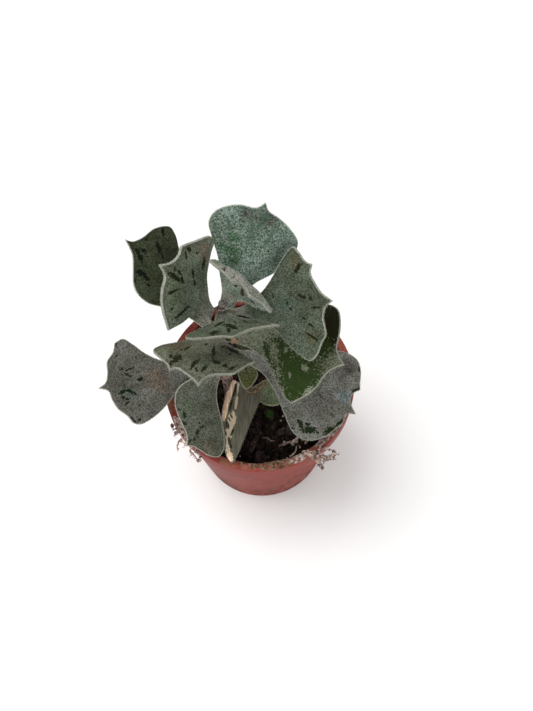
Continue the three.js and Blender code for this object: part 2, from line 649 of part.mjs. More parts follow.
// The stem with its wrinkled bark, its side twig and the tiny leaves of its growing tip.
function makeStem() {
  const bark = (turn, along) => 1 + 0.05 * Math.sin(3 * turn + 9 * along) + 0.05 * Math.sin(70 * along);
  let solid = toSolid(rod(STEM, STEM_SIDES, STEM_STEPS, bark));
  solid = solid.add(toSolid(rod(TWIG, 7, 12)));
  const tip = STEM[STEM.length - 1].at;
  for (const azimuth of [20, 110, 200, 290]) {
    const bud = new THREE.IcosahedronGeometry(1, 1);
    bud.scale(1.5, 0.8, 0.45).translate(1.1, 0, 0).rotateY(-0.9);
    bud.rotateZ(THREE.MathUtils.degToRad(azimuth)).translate(tip[0], tip[1], tip[2] - 0.6);
    solid = solid.add(toSolid(bud));
  }
  return makeMesh("stem", toGeometry(solid), COLOURS.stem, 0.95);
}

const plant = new THREE.Group();
plant.add(makePot(), makeSoil(), makeStem());
LEAVES.forEach((leaf) => plant.add(makeLeaf(leaf)));
plant.add(makeSeedling(), makeRoots("roots_right", ROOTS_RIGHT), makeRoots("roots_left", ROOTS_LEFT));
CRUSTS.forEach((crust) => plant.add(makeCrust(crust)));

export default plant;
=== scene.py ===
"""A small felted succulent in a round nursery pot, dressed over its construction model.

Sizes and places are in millimetres and become metres when a mesh is made. +Z is up, the origin is
the middle of the pot's underside, and the camera stands on the -Y side.
"""

import logging
import math
from dataclasses import dataclass, field
from enum import Enum

import bpy
import numpy as np
from mathutils import Euler, Matrix, Vector, noise


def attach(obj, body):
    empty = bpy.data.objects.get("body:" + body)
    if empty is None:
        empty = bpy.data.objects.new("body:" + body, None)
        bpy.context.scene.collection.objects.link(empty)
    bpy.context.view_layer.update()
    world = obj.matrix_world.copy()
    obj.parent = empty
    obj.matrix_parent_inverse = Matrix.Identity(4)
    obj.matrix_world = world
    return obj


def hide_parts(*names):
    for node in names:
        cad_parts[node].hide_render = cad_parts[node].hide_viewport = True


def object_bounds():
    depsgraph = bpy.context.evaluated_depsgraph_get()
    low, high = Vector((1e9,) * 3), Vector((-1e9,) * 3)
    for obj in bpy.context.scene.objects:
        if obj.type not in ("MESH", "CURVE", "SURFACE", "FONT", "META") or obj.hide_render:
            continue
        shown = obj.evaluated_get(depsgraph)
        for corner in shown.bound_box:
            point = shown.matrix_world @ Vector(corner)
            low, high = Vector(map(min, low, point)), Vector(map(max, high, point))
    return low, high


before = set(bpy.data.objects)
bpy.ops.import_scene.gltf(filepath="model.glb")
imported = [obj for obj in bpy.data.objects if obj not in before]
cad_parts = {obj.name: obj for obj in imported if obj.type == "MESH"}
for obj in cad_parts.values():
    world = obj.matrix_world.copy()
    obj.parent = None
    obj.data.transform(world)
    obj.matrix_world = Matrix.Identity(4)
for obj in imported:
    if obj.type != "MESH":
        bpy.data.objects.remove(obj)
MODEL_BOX = [list(map(float, corner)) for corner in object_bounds()]

log = logging.getLogger("plant")
MM = 0.001
Place = tuple[float, float, float]
Station = tuple[float, float, float, float]
Shape = tuple[np.ndarray, list]
Socket = bpy.types.NodeSocket


class Mark(Enum):
    """What a point of a leaf's outline is."""

    CORNER = "corner"
    TOOTH = "tooth"
    CUSP = "cusp"


class Patch(Enum):
    """What a marked patch of a leaf's face shows.

    The value names the attribute that holds it. A kept patch has none: it is taken off the bare ones.
    """

    BLOTCH = "blotch"
    BARE = "bare"
    KEPT = "kept"
    TINT = "tint"
    # A second tint of the felt, and on the right lower leaf a painted sheen.
    SECOND_TINT_AND_SHEEN = "second_tint_and_sheen"


class Blend(Enum):
    """How one colour goes over another: by covering it, or by shading it."""

    COVER = "MIX"
    SHADE = "MULTIPLY"


class Copy(Enum):
    """One scattered copy: the node that makes it, and what the node's inputs get."""

    HAIR = ("GeometryNodeMeshCone", {"Vertices": 3, "Radius Top": 0.0, "Radius Bottom": 1.0, "Depth": 1.0})
    CRUMB = ("GeometryNodeMeshIcoSphere", {"Radius": 1.0, "Subdivisions": 1})


CORNER, TOOTH, CUSP = Mark
BLOTCH, BARE, KEPT, TINT, SECOND_TINT_AND_SHEEN = Patch


def linear(colour: str) -> tuple[float, float, float, float]:
    """Turns an sRGB hex colour into the linear one that shaders take.

    Args:
        colour: Six hex digits after a hash.

    Returns:
        Red, green, blue and an opaque alpha.
    """
    parts = [int(colour[i : i + 2], 16) / 255 for i in (1, 3, 5)]
    red, green, blue = (c / 12.92 if c <= 0.04045 else ((c + 0.055) / 1.055) ** 2.4 for c in parts)
    return red, green, blue, 1.0


def add_node(tree: bpy.types.NodeTree, kind: str, inputs: dict | None = None, **settings) -> bpy.types.Node:
    """Adds a node with its settings and links.

    Args:
        tree: The node tree that gets the node.
        kind: The node's type.
        inputs: What each input socket gets, a value or another node's output, by name or number.
        settings: The node's own properties.

    Returns:
        The new node.
    """
    node = tree.nodes.new(kind)
    for name, value in settings.items():
        setattr(node, name, value)
    for name, value in (inputs or {}).items():
        socket = node.inputs[name]
        if isinstance(value, Socket):
            tree.links.new(value, socket)
        else:
            socket.default_value = value
    return node


class Surface:
    """The node tree of one material, with the few steps that the finishes here share."""

    def __init__(
        self, name: str, ground: str, roughness: float, gloss: float = 0.08, sheen: float = 0.0
    ) -> None:
        """Starts a material.

        Args:
            name: The material's name.
            ground: The hex colour under all the coats.
            roughness: The shader's roughness.
            gloss: The shader's specular level.
            sheen: The shader's sheen.
        """
        self.material = bpy.data.materials.new(name)
        self.material.use_nodes = True
        self.tree = self.material.node_tree
        self.shader = self.tree.nodes["Principled BSDF"]
        values = {"Roughness": roughness, "Specular IOR Level": gloss, "Sheen Weight": sheen}
        for key, value in values.items():
            self.shader.inputs[key].default_value = value
        self.place = self.node("ShaderNodeTexCoord").outputs["Object"]
        self.colour = ground

    def node(self, kind: str, inputs: dict | None = None, **settings) -> bpy.types.Node:
        """Adds a node to this material."""
        return add_node(self.tree, kind, inputs, **settings)

    def attribute(self, name: str, output: str = "Fac") -> Socket:
        """Reads one of the piece's own attributes."""
        return self.node("ShaderNodeAttribute", attribute_name=name).outputs[output]

    def pattern(self, size: float, detail: float = 3, vector: Socket | None = None) -> Socket:
        """Gives a lumpy pattern.

        Args:
            size: How wide its lumps are, in mm.
            detail: How many finer layers it has.
            vector: Where it is read, in mm, or nothing for the object's own place.

        Returns:
            A value round 0.5.
        """
        scale = 1 / size if vector else 1 / (size * MM)
        inputs = {"Vector": vector or self.place, "Scale": scale, "Detail": detail, "Roughness": 0.6}
        return self.node("ShaderNodeTexNoise", inputs).outputs["Fac"]

    def total(self, *terms: tuple, start: float | Socket = 0.0) -> Socket:
        """Adds values up.

        Args:
            terms: Each value with its weight.
            start: What they are added to.

        Returns:
            The sum.
        """
        for value, weight in terms:
            inputs = {0: value, 1: weight, 2: start}
            start = self.node("ShaderNodeMath", inputs, operation="MULTIPLY_ADD").outputs[0]
        return start

    def step(self, value: Socket, low: float, high: float, most: float = 1.0) -> Socket:
        """Turns a value into a share that rises smoothly, or falls where low is above high.

        Args:
            value: The value.
            low: Where the share is 0.
            high: Where the share is at its most.
            most: The highest share.

        Returns:
            The share.
        """
        least, last = (0.0, most) if low <= high else (most, 0.0)
        ends = {"From Min": min(low, high), "From Max": max(low, high), "To Min": least, "To Max": last}
        inputs = {"Value": value, **ends}
        return self.node("ShaderNodeMapRange", inputs, interpolation_type="SMOOTHSTEP").outputs[0]

    def patch(self, name: str, uneven: Socket, low: float, high: float, most: float = 1.0) -> Socket:
        """Gives the share of a marked patch, such as a blotch or the rim, with an uneven edge."""
        return self.step(self.total((self.attribute(name), 1.0), start=uneven), low, high, most)

    def mix(self, share: float | Socket, first: str | Socket, second: str | Socket, blend: Blend) -> Socket:
        """Mixes two colours, each a hex value or a socket.

        Args:
            share: How much of the second one shows.
            first: The colour below.
            second: The colour above.
            blend: How the second one goes over the first.

        Returns:
            The mixed colour.
        """
        first, second = (linear(c) if isinstance(c, str) else c for c in (first, second))
        inputs = {0: share, 6: first, 7: second}
        return self.node("ShaderNodeMix", inputs, data_type="RGBA", blend_type=blend.value).outputs[2]

    def coat(self, share: float | Socket, colour: str | Socket, blend: Blend = Blend.COVER) -> None:
        """Lays a colour over all the coats before it, by a share."""
        self.colour = self.mix(share, self.colour, colour, blend)

    def finish(self, height: Socket, depth: float) -> bpy.types.Material:
        """Links the coats' colour and a bump.

        Args:
            height: The bump's height, from 0 to 1.
            depth: The bump's depth in mm.

        Returns:
            The finished material.
        """
        self.tree.links.new(self.colour, self.shader.inputs["Base Color"])
        bump = self.node("ShaderNodeBump", {"Height": height, "Distance": depth * MM, "Strength": 1.0})
        self.tree.links.new(bump.outputs["Normal"], self.shader.inputs["Normal"])
        return self.material


@dataclass(frozen=True)
class LeafFelt:
    """Living succulent leaf under a felt of short white hairs, as it grew.

    The hairs scatter the light, so the green below shows as a matt, finely grained grey-green. Where
    the felt is thin or rubbed off, olive blotches and bare deep-green flesh show, and where it is
    thickest, along the margin, it makes a cream rim.
    """

    name: str
    felt: str
    tint: str
    # A second tint; on the right lower leaf it is a painted sheen.
    second_tint_and_sheen: str
    shade: str = "#999c92"
    broad_shade: str = "#d6d5cf"
    flesh: str = "#2a3a17"
    flesh_shade: str = "#b9bfa8"
    spot: str = "#1c1b0f"
    rim: str = "#9fa198"
    rim_shade: str = "#c8c6b8"
    # The pale leaf base: partly its own paleness, partly painted light against the shade near the stem.
    petiole_and_painted_light: str = "#a09e96"
    petiole_end: float = 8.0
    grain: float = 0.33
    speckle: float = 0.72
    vein: float = 1.1
    ragged: float = 0.48
    fleck: float = 0.8
    cloud: float = 7.0

    def make(self) -> bpy.types.Material:
        """Builds the material.

        Returns:
            The material.
        """
        surface = Surface(f"leaf_felt_{self.name}", self.felt, 0.95, 0.04, 0.015)
        place = surface.attribute("place", "Vector")
        x, y, side = surface.node("ShaderNodeSeparateXYZ", {"Vector": place}).outputs
        turn = {0: y, 1: surface.total((x, 1.0), start=3.0)}
        turn = surface.node("ShaderNodeMath", turn, operation="ARCTAN2").outputs[0]
        fan = {"X": surface.total((turn, 24.0)), "Y": surface.total((x, 0.3)), "Z": side}
        veins = surface.pattern(self.vein, 4, surface.node("ShaderNodeCombineXYZ", fan).outputs[0])
        fine, medium = surface.pattern(self.grain, 2), surface.pattern(self.grain * 3.5)
        rest = 1 - self.speckle
        grain = surface.total((fine, self.speckle), (medium, 0.6 * rest), (veins, 0.4 * rest))
        uneven = surface.total((medium, 0.9), start=-0.45)
        surface.coat(surface.patch("tint", uneven, 0.1, 0.8), self.tint)
        # The second tint is a greener felt on most leaves and a painted sheen on the right lower leaf.
        surface.coat(surface.patch("second_tint_and_sheen", uneven, 0.1, 0.8), self.second_tint_and_sheen)
        # Pale base near the stem, partly real and partly painted light.
        surface.coat(surface.step(x, self.petiole_end, 1.5, 0.8), self.petiole_and_painted_light)
        surface.coat(surface.step(grain, 0.6, 0.4), self.shade, Blend.SHADE)
        surface.coat(surface.step(surface.pattern(self.cloud), 0.36, 0.64), self.broad_shade, Blend.SHADE)
        ragged = surface.total((surface.pattern(self.ragged, 4), 3.6), start=-1.8)
        bare = surface.patch("bare", ragged, -0.08, 0.06)
        flesh = surface.mix(surface.step(grain, 0.42, 0.6), self.flesh, self.flesh_shade, Blend.SHADE)
        surface.coat(surface.total((bare, 0.96)), flesh)
        surface.coat(surface.patch("blotch", ragged, -0.18, -0.04, 0.97), self.spot)
        surface.coat(surface.step(surface.pattern(self.fleck, 2), 0.67, 0.74, 0.75), self.spot)
        worn = surface.total((surface.pattern(0.9), 0.5), start=-0.25)
        rim = surface.patch("rim", worn, 0.0, 0.45)
        surface.coat(rim, surface.mix(surface.step(fine, 0.6, 0.4), self.rim, self.rim_shade, Blend.SHADE))
        return surface.finish(surface.total((rim, 0.4), (bare, -0.5), start=grain), 0.14)


@dataclass(frozen=True)
class DryLeaf:
    """Old leaf dried to a papery skin: peach and cream where it bleached, olive-black where it rotted."""

    name: str = "dry_leaf_papery"
    face: str = "#646256"
    groove: str = "#5c5b50"
    peach: str = "#f0d8c0"
    peach_shade: str = "#d6b89b"
    cream: str = "#bfb39f"
    streak: str = "#ebe5dd"
    rot: str = "#1c2314"
    wrinkle: float = 0.75

    def make(self) -> bpy.types.Material:
        """Builds the material.

        Returns:
            The material.
        """
        surface = Surface(self.name, self.groove, 0.85)
        inputs = {"Vector": surface.attribute("place", "Vector"), "Scale": (0.16, 1, 1)}
        lines = surface.pattern(self.wrinkle, 4, surface.node("ShaderNodeMapping", inputs).outputs[0])
        ragged = surface.total((surface.pattern(0.8, 4), 1.3), start=-0.65)
        peach = surface.mix(surface.step(lines, 0.4, 0.56), self.peach_shade, self.peach, Blend.COVER)
        streak = surface.mix(surface.step(lines, 0.4, 0.62), self.streak, "#ffffff", Blend.COVER)
        surface.coat(surface.step(lines, 0.36, 0.64), self.face)
        surface.coat(surface.patch("second_tint_and_sheen", ragged, 0.05, 0.2), self.cream)
        surface.coat(surface.patch("tint", ragged, -0.15, 0.15), peach)
        surface.coat(1.0, streak, Blend.SHADE)
        surface.coat(surface.patch("blotch", ragged, -0.1, 0.1, 0.92), self.rot)
        return surface.finish(lines, 0.15)


@dataclass(frozen=True)
class MouldedPlastic:
    """Polypropylene nursery pot, injection moulded: a soft gloss, with lime film and scuffs outside, and
    painted shade inside the pot, on the rear of its lip and on its left.
    """

    name: str = "polypropylene_moulded_terracotta"
    body: str = "#8c362a"
    shade: str = "#792c22"
    lip: str = "#8b3e37"
    film: str = "#9a6860"
    # Dark-red spots, and also the colour of the painted shade at the rear and left.
    spot: str = "#4c1813"
    dirt: str = "#86624f"
    # Painted shade: the near-black red laid over the inside of the pot.
    inner: str = "#3a130f"
    lip_height: float = 44.5
    cloud: float = 9.0
    speck: float = 1.1
    drip: float = 5.0
    scuff: float = 2.2
    dirt_grain: float = 1.8

    def make(self) -> bpy.types.Material:
        """Builds the material.

        Returns:
            The material.
        """
        surface = Surface(self.name, self.lip, 0.42, 0.03)
        inputs = {"Vector": surface.place, "Scale": (1 / MM, 1 / MM, 1 / MM)}
        place = surface.node("ShaderNodeMapping", inputs).outputs[0]
        x, y, height = surface.node("ShaderNodeSeparateXYZ", {"Vector": place}).outputs
        drips = surface.node("ShaderNodeMapping", {"Vector": place, "Scale": (1, 1, 0.35)}).outputs[0]
        cloud, speck = surface.pattern(self.cloud, 5), surface.pattern(self.speck, 4)
        wall = surface.step(height, self.lip_height + 0.5, self.lip_height - 3)
        surface.coat(wall, surface.mix(surface.step(cloud, 0.35, 0.7), self.body, self.shade, Blend.COVER))
        run = surface.total((speck, 0.25), start=surface.pattern(self.drip, 5, drips))
        lee = surface.step(x, -8, 24)
        reach = surface.total((surface.step(height, 18, 3), 0.45), start=lee)
        spread = surface.total((reach, surface.step(run, 0.54, 0.76)), (reach, 0.25))
        film = surface.total((surface.total((spread, 0.8), (lee, 0.08)), wall))
        surface.coat(film, self.film)
        worn = surface.total((height, -0.006), start=surface.pattern(self.scuff, 4, drips))
        surface.coat(surface.total((surface.step(worn, 0.45, 0.5, 0.5), wall)), self.spot)
        # Painted shade: the rear and left of the lip are darkened with the spot colour.
        rear = surface.total((surface.step(y, -6, 15), surface.total((wall, -1.0), start=1.0)))
        rear = surface.total((rear, surface.step(x, 8, -12)))
        surface.coat(surface.total((rear, 0.85)), self.spot)
        # Painted shade: the left of the pot is darkened a little with the spot colour.
        surface.coat(surface.step(x, 0, -20, 0.1), self.spot)
        # Real dirt on the lip's top, thinned where the painted shade lies.
        dirt = surface.step(surface.pattern(self.dirt_grain, 5), 0.4, 0.6)
        dirt = surface.total((dirt, surface.step(height, 49.0, 49.8)))
        surface.coat(surface.total((dirt, surface.total((rear, -0.5), start=0.7))), self.dirt)
        # Painted shade: the inside of the pot, walls and floor, is darkened to near-black red.
        surface.coat(surface.step(surface.attribute("inside"), 0.32, 0.66), self.inner)
        surface.tree.links.new(surface.total((film, 0.5), start=0.38), surface.shader.inputs["Roughness"])
        return surface.finish(surface.total((cloud, 0.5), (speck, 0.2)), 0.12)


@dataclass(frozen=True)
class PottingMix:
    """Damp peat and bark mix: near-black crumbs with brown fibres."""

    name: str = "potting_mix_damp"
    dark: str = "#090706"
    light: str = "#35281f"
    fibre: str = "#6a564a"

    def make(self) -> bpy.types.Material:
        """Builds the material.

        Returns:
            The material.
        """
        surface = Surface(self.name, self.dark, 0.95)
        crumb, fibre = surface.pattern(1.6, 6), surface.pattern(0.5)
        surface.coat(surface.step(crumb, 0.4, 0.75), self.light)
        surface.coat(surface.step(fibre, 0.63, 0.74), self.fibre)
        return surface.finish(surface.total((fibre, 0.4), start=crumb), 0.9)


@dataclass(frozen=True)
class PlainGrowth:
    """A dry grown thing, such as bark, root or mineral scale: matt, blotched and rough to the touch."""

    name: str
    light: str
    dark: str
    grain: float
    depth: float
    roughness: float = 0.9

    def make(self) -> bpy.types.Material:
        """Builds the material.

        Returns:
            The material.
        """
        surface = Surface(self.name, self.dark, self.roughness)
        grain = surface.pattern(self.grain, 5)
        both = surface.total((grain, 0.6), (surface.pattern(self.grain * 5), 0.4))
        surface.coat(surface.step(both, 0.36, 0.64), self.light)
        return surface.finish(grain, self.depth)


@dataclass(frozen=True)
class PaleFloor:
    """Matt white studio paper under the object."""

    name: str = "paper_matt_white"
    colour: str = "#f7f7f6"

    def make(self) -> bpy.types.Material:
        """Builds the material.

        Returns:
            The material.
        """
        surface = Surface(self.name, self.colour, 1.0, 0.0)
        surface.shader.inputs["Base Color"].default_value = linear(self.colour)
        return surface.material


WHITE_HAIR = PlainGrowth("leaf_hair_white", "#b4b4aa", "#8f9086", 0.5, 0.02)
BUD_FELT = PlainGrowth("leaf_bud_felted", "#857e77", "#38312d", 0.35, 0.3)
BARK = PlainGrowth("bark_young_wrinkled", "#c0a49a", "#452e2c", 0.5, 0.5)
DRY_ROOT = PlainGrowth("root_dried", "#d8bfb2", "#472f28", 0.8, 0.3)
PALE_ROOT = PlainGrowth("root_bleached", "#c4ad9c", "#8f7768", 0.7, 0.1)
BROWN_ROOT = PlainGrowth("root_thread_brown", "#8b7872", "#4a3c38", 0.5, 0.2)
SCALE = PlainGrowth("mineral_scale_tan", "#987962", "#321d15", 0.6, 0.4)
PALE_SCALE = PlainGrowth("mineral_scale_whitish", "#c5b8b1", "#7d6359", 0.6, 0.3)
WHITE_SCALE = PlainGrowth("mineral_scale_white", "#e0d4cd", "#94796f", 0.6, 0.3)
BARK_CHIP = PlainGrowth("bark_chip_weathered", "#3f3230", "#140f0e", 1.0, 0.4)
PALE_BIT = PlainGrowth("grit_pale", "#bba99b", "#5c4b43", 0.5, 0.3)
TAN_SCALE = PlainGrowth("bud_scale_dried_tan", "#b39478", "#8f7460", 0.5, 0.2)
OLD_SCALE = PlainGrowth("bud_scale_dried_olive", "#4b4c34", "#2c2f1d", 0.9, 0.1)
DRY_BRACT = PlainGrowth("bract_dried_brown", "#8f7a60", "#4f3f2f", 0.6, 0.3)
FRESH_LEAF = PlainGrowth("leaf_fresh_smooth", "#2e481a", "#1f3312", 0.6, 0.05, 0.5)


def add_object(name: str, data: bpy.types.ID) -> bpy.types.Object:
    """Puts a mesh, a light or a camera into the scene.

    Args:
        name: The object's name.
        data: The mesh, light or camera.

    Returns:
        The object.
    """
    thing = bpy.data.objects.new(name, data)
    bpy.context.scene.collection.objects.link(thing)
    return thing


def make_piece(
    name: str, shape: Shape, material: bpy.types.Material | None, **attributes: np.ndarray
) -> bpy.types.Object:
    """Makes a mesh object from points in mm, with its place in its mesh.

    Args:
        name: The piece's name.
        shape: One row of x, y and z for each vertex, and the vertices of each face, outwards.
        material: The material of every face, if it has one.
        attributes: Values for each vertex, one number or three.

    Returns:
        The object, at the origin.
    """
    points, faces = shape
    mesh = bpy.data.meshes.new(name)
    mesh.from_pydata((np.asarray(points) * MM).tolist(), [], faces)
    for key, values in attributes.items():
        flat = np.asarray(values, np.float32)
        kind, slot = ("FLOAT", "value") if flat.ndim == 1 else ("FLOAT_VECTOR", "vector")
        mesh.attributes.new(key, kind, "POINT").data.foreach_set(slot, flat.ravel())
    if material:
        mesh.materials.append(material)
    mesh.validate()
    mesh.shade_smooth()
    return add_object(name, mesh)


def baked(piece: bpy.types.Object, modifier: bpy.types.Modifier) -> bpy.types.Mesh:
    """Bakes a modifier and takes it off again.

    Args:
        piece: The piece that has the modifier.
        modifier: The modifier.

    Returns:
        The plain mesh that the modifier makes.
    """
    graph = bpy.context.evaluated_depsgraph_get()
    mesh = bpy.data.meshes.new_from_object(piece.evaluated_get(graph))
    piece.modifiers.remove(modifier)
    return mesh


def keep_in_box(mesh: bpy.types.Mesh) -> None:
    """Draws in the few hair and root tips that reach past the construction model's box.

    Args:
        mesh: The piece's mesh.
    """
    flat = np.empty(len(mesh.vertices) * 3, np.float32)
    mesh.vertices.foreach_get("co", flat)
    low, high = (np.array(corner) for corner in MODEL_BOX)
    mesh.vertices.foreach_set("co", np.clip(flat.reshape(-1, 3), low, high).ravel().astype(np.float32))
    mesh.update()


def settle(piece: bpy.types.Object, slot: str, *nodes: str) -> None:
    """Draws a finished piece into the model's box, fixes it to the body and hides the nodes that it replaces.

    Args:
        piece: The finished piece.
        slot: The piece's material slot, which is not used.
        nodes: The construction nodes that it replaces.
    """
    keep_in_box(piece.data)
    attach(piece, "root")
    if nodes:
        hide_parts(*nodes)
    piece.data.calc_loop_triangles()
    log.info("%s: %d triangles", piece.name, len(piece.data.loop_triangles))


def smooth_line(points: np.ndarray, steps: int) -> np.ndarray:
    """Draws a centripetal spline through points.

    Args:
        points: The points, one a row.
        steps: How many steps each span gets.

    Returns:
        The points of the line, steps to a span.
    """
    points = np.asarray(points, float)
    padded = np.vstack([2 * points[0] - points[1], points, 2 * points[-1] - points[-2]])
    share = (np.arange(steps) / steps)[:, None]
    line = []
    for p0, p1, p2, p3 in zip(padded, padded[1:], padded[2:], padded[3:]):
        gaps = [max(np.linalg.norm(b - a), 1e-6) ** 0.5 for a, b in ((p0, p1), (p1, p2), (p2, p3))]
        start = gaps[1] * ((p1 - p0) / gaps[0] - (p2 - p0) / (gaps[0] + gaps[1]) + (p2 - p1) / gaps[1])
        end = gaps[1] * ((p2 - p1) / gaps[1] - (p3 - p1) / (gaps[1] + gaps[2]) + (p3 - p2) / gaps[2])
        square = -3 * p1 + 3 * p2 - 2 * start - end
        cube = 2 * p1 - 2 * p2 + start + end
        line.append(p1 + start * share + square * share**2 + cube * share**3)
    return np.vstack([*line, points[-1:]])


def lengths(line: np.ndarray) -> np.ndarray:
    """Gives the distance along a line at each of its points."""
    return np.concatenate([[0.0], np.cumsum(np.linalg.norm(np.diff(line, axis=0), axis=1))])


def sample(line: np.ndarray, shares: np.ndarray) -> np.ndarray:
    """Gives the points at shares of a line's length."""
    along = lengths(line)
    return np.stack([np.interp(shares * along[-1], along, axis) for axis in line.T], axis=1)


def ease(value: np.ndarray) -> np.ndarray:
    """Rises smoothly from 0 at 0 to 1 at 1."""
    value = np.clip(value, 0, 1)
    return value * value * (3 - 2 * value)


def circle(count: int) -> np.ndarray:
    """Gives points round a circle of radius 1, one a row."""
    turns = np.arange(count) * 2 * math.pi / count
    return np.stack([np.cos(turns), np.sin(turns)], axis=1)


def band(rows: int, count: int) -> list[tuple]:
    """Joins rows of points, each closed to a ring, by four-sided faces.

    Args:
        rows: How many rows there are.
        count: How many points each row has.

    Returns:
        The faces.
    """
    ring = [(i, (i + 1) % count) for i in range(count)]
    starts = range(0, (rows - 1) * count, count)
    return [(row + i, row + j, row + j + count, row + i + count) for row in starts for i, j in ring]


def closed_band(rows: int, count: int) -> list[tuple]:
    """Joins rows of points as a band does and closes both ends.

    Args:
        rows: How many rows there are.
        count: How many points each row has.

    Returns:
        The faces, for points in rows with the two ends' middles after them.
    """
    faces, last, end = band(rows, count), (rows - 1) * count, rows * count
    for i in range(count):
        j = (i + 1) % count
        faces += [(j, i, end), (last + i, last + j, end + 1)]
    return faces


def lumps(points: np.ndarray, size: float, octaves: int = 3) -> np.ndarray:
    """Gives fractal noise between about -1 and 1 at each point.

    Args:
        points: Places in mm, one a row.
        size: How wide the largest lumps are.
        octaves: How many finer layers are added.

    Returns:
        One number for each point.
    """
    return np.array([noise.fractal(Vector(p) / size, 1.0, 2.0, octaves) for p in np.asarray(points, float)])


def pebble(at: Place, reach: Place, turn: Place = (0, 0, 0), rough: float = 0.0, seed: int = 0) -> Shape:
    """Makes a closed, lumpy ellipsoid.

    Args:
        at: Its middle.
        reach: Its half sizes along its own axes.
        turn: Its turn about x, y and z in degrees.
        rough: How far its lumps stand out, as a share of its size.
        seed: Which lumps it gets.

    Returns:
        Points and faces.
    """
    rings, sides, grain, apart = 11, 20, 0.9, 13.0
    tilt = np.linspace(0, math.pi, rings + 2)[1:-1, None, None]
    heights = np.broadcast_to(-np.cos(tilt), (rings, sides, 1))
    ball = np.concatenate([np.sin(tilt) * circle(sides), heights], axis=2).reshape(-1, 3)
    ball = np.vstack([ball, [[0, 0, -1], [0, 0, 1]]])
    ball = ball * (1 + rough * lumps(ball + apart * seed, grain))[:, None]
    matrix = np.array(Euler([math.radians(angle) for angle in turn]).to_matrix())
    return (ball * reach) @ matrix.T + np.array(at, float), closed_band(rings, sides)


@dataclass
class Rod:
    """A round rod along stations of x, y, z and radius, closed with domed ends."""

    stations: list[Station]
    sides: int = 20
    steps: int = 160

    def path(self) -> tuple[np.ndarray, np.ndarray]:
        """Draws the rod's middle.

        Returns:
            The middle line's points, and the radius at each of them.
        """
        stations = np.array(self.stations, float)
        span = 24
        dense = smooth_line(stations[:, :3], span)
        shares = np.linspace(0, 1, self.steps + 1)
        index = np.interp(shares * lengths(dense)[-1], lengths(dense), np.arange(len(dense)) / span)
        return sample(dense, shares), np.interp(index, np.arange(len(stations)), stations[:, 3])

    def build(self, wobble: float = 0.0, size: float = 1.5, seed: int = 0) -> Shape:
        """Makes the rod's surface.

        Args:
            wobble: How far the bark stands in and out, as a share of the radius.
            size: How wide its lumps are.
            seed: Which lumps it gets.

        Returns:
            Points and faces.
        """
        middle, radius = self.path()
        ahead = np.gradient(middle, axis=0)
        ahead /= np.linalg.norm(ahead, axis=1)[:, None]
        side = np.cross(ahead[0], (0.3, 0.9, 0.2))
        ring, rows = circle(self.sides), []
        for here, way, reach in zip(middle, ahead, radius):
            side = side - (side @ way) * way
            side /= np.linalg.norm(side)
            rows.append(here + reach * (ring[:, :1] * side + ring[:, 1:] * np.cross(way, side)))
        points = np.array(rows)
        rise = lumps(points.reshape(-1, 3) + seed * 17.0, size).reshape(points.shape[:2])
        points = middle[:, None] + (points - middle[:, None]) * (1 + wobble * rise)[..., None]
        ends = [middle[0] - ahead[0] * radius[0] * 0.4, middle[-1] + ahead[-1] * radius[-1] * 0.6]
        return np.vstack([points.reshape(-1, 3), ends]), closed_band(self.steps + 1, self.sides)


def joined(parts: list[Shape]) -> Shape:
    """Puts several surfaces into one.

    Args:
        parts: Each surface's points and faces.

    Returns:
        The points and faces of all of them.
    """
    points, faces, start = [], [], 0
    for part_points, part_faces in parts:
        points.append(part_points)
        faces += [tuple(start + i for i in face) for face in part_faces]
        start += len(part_points)
    return np.vstack(points), faces


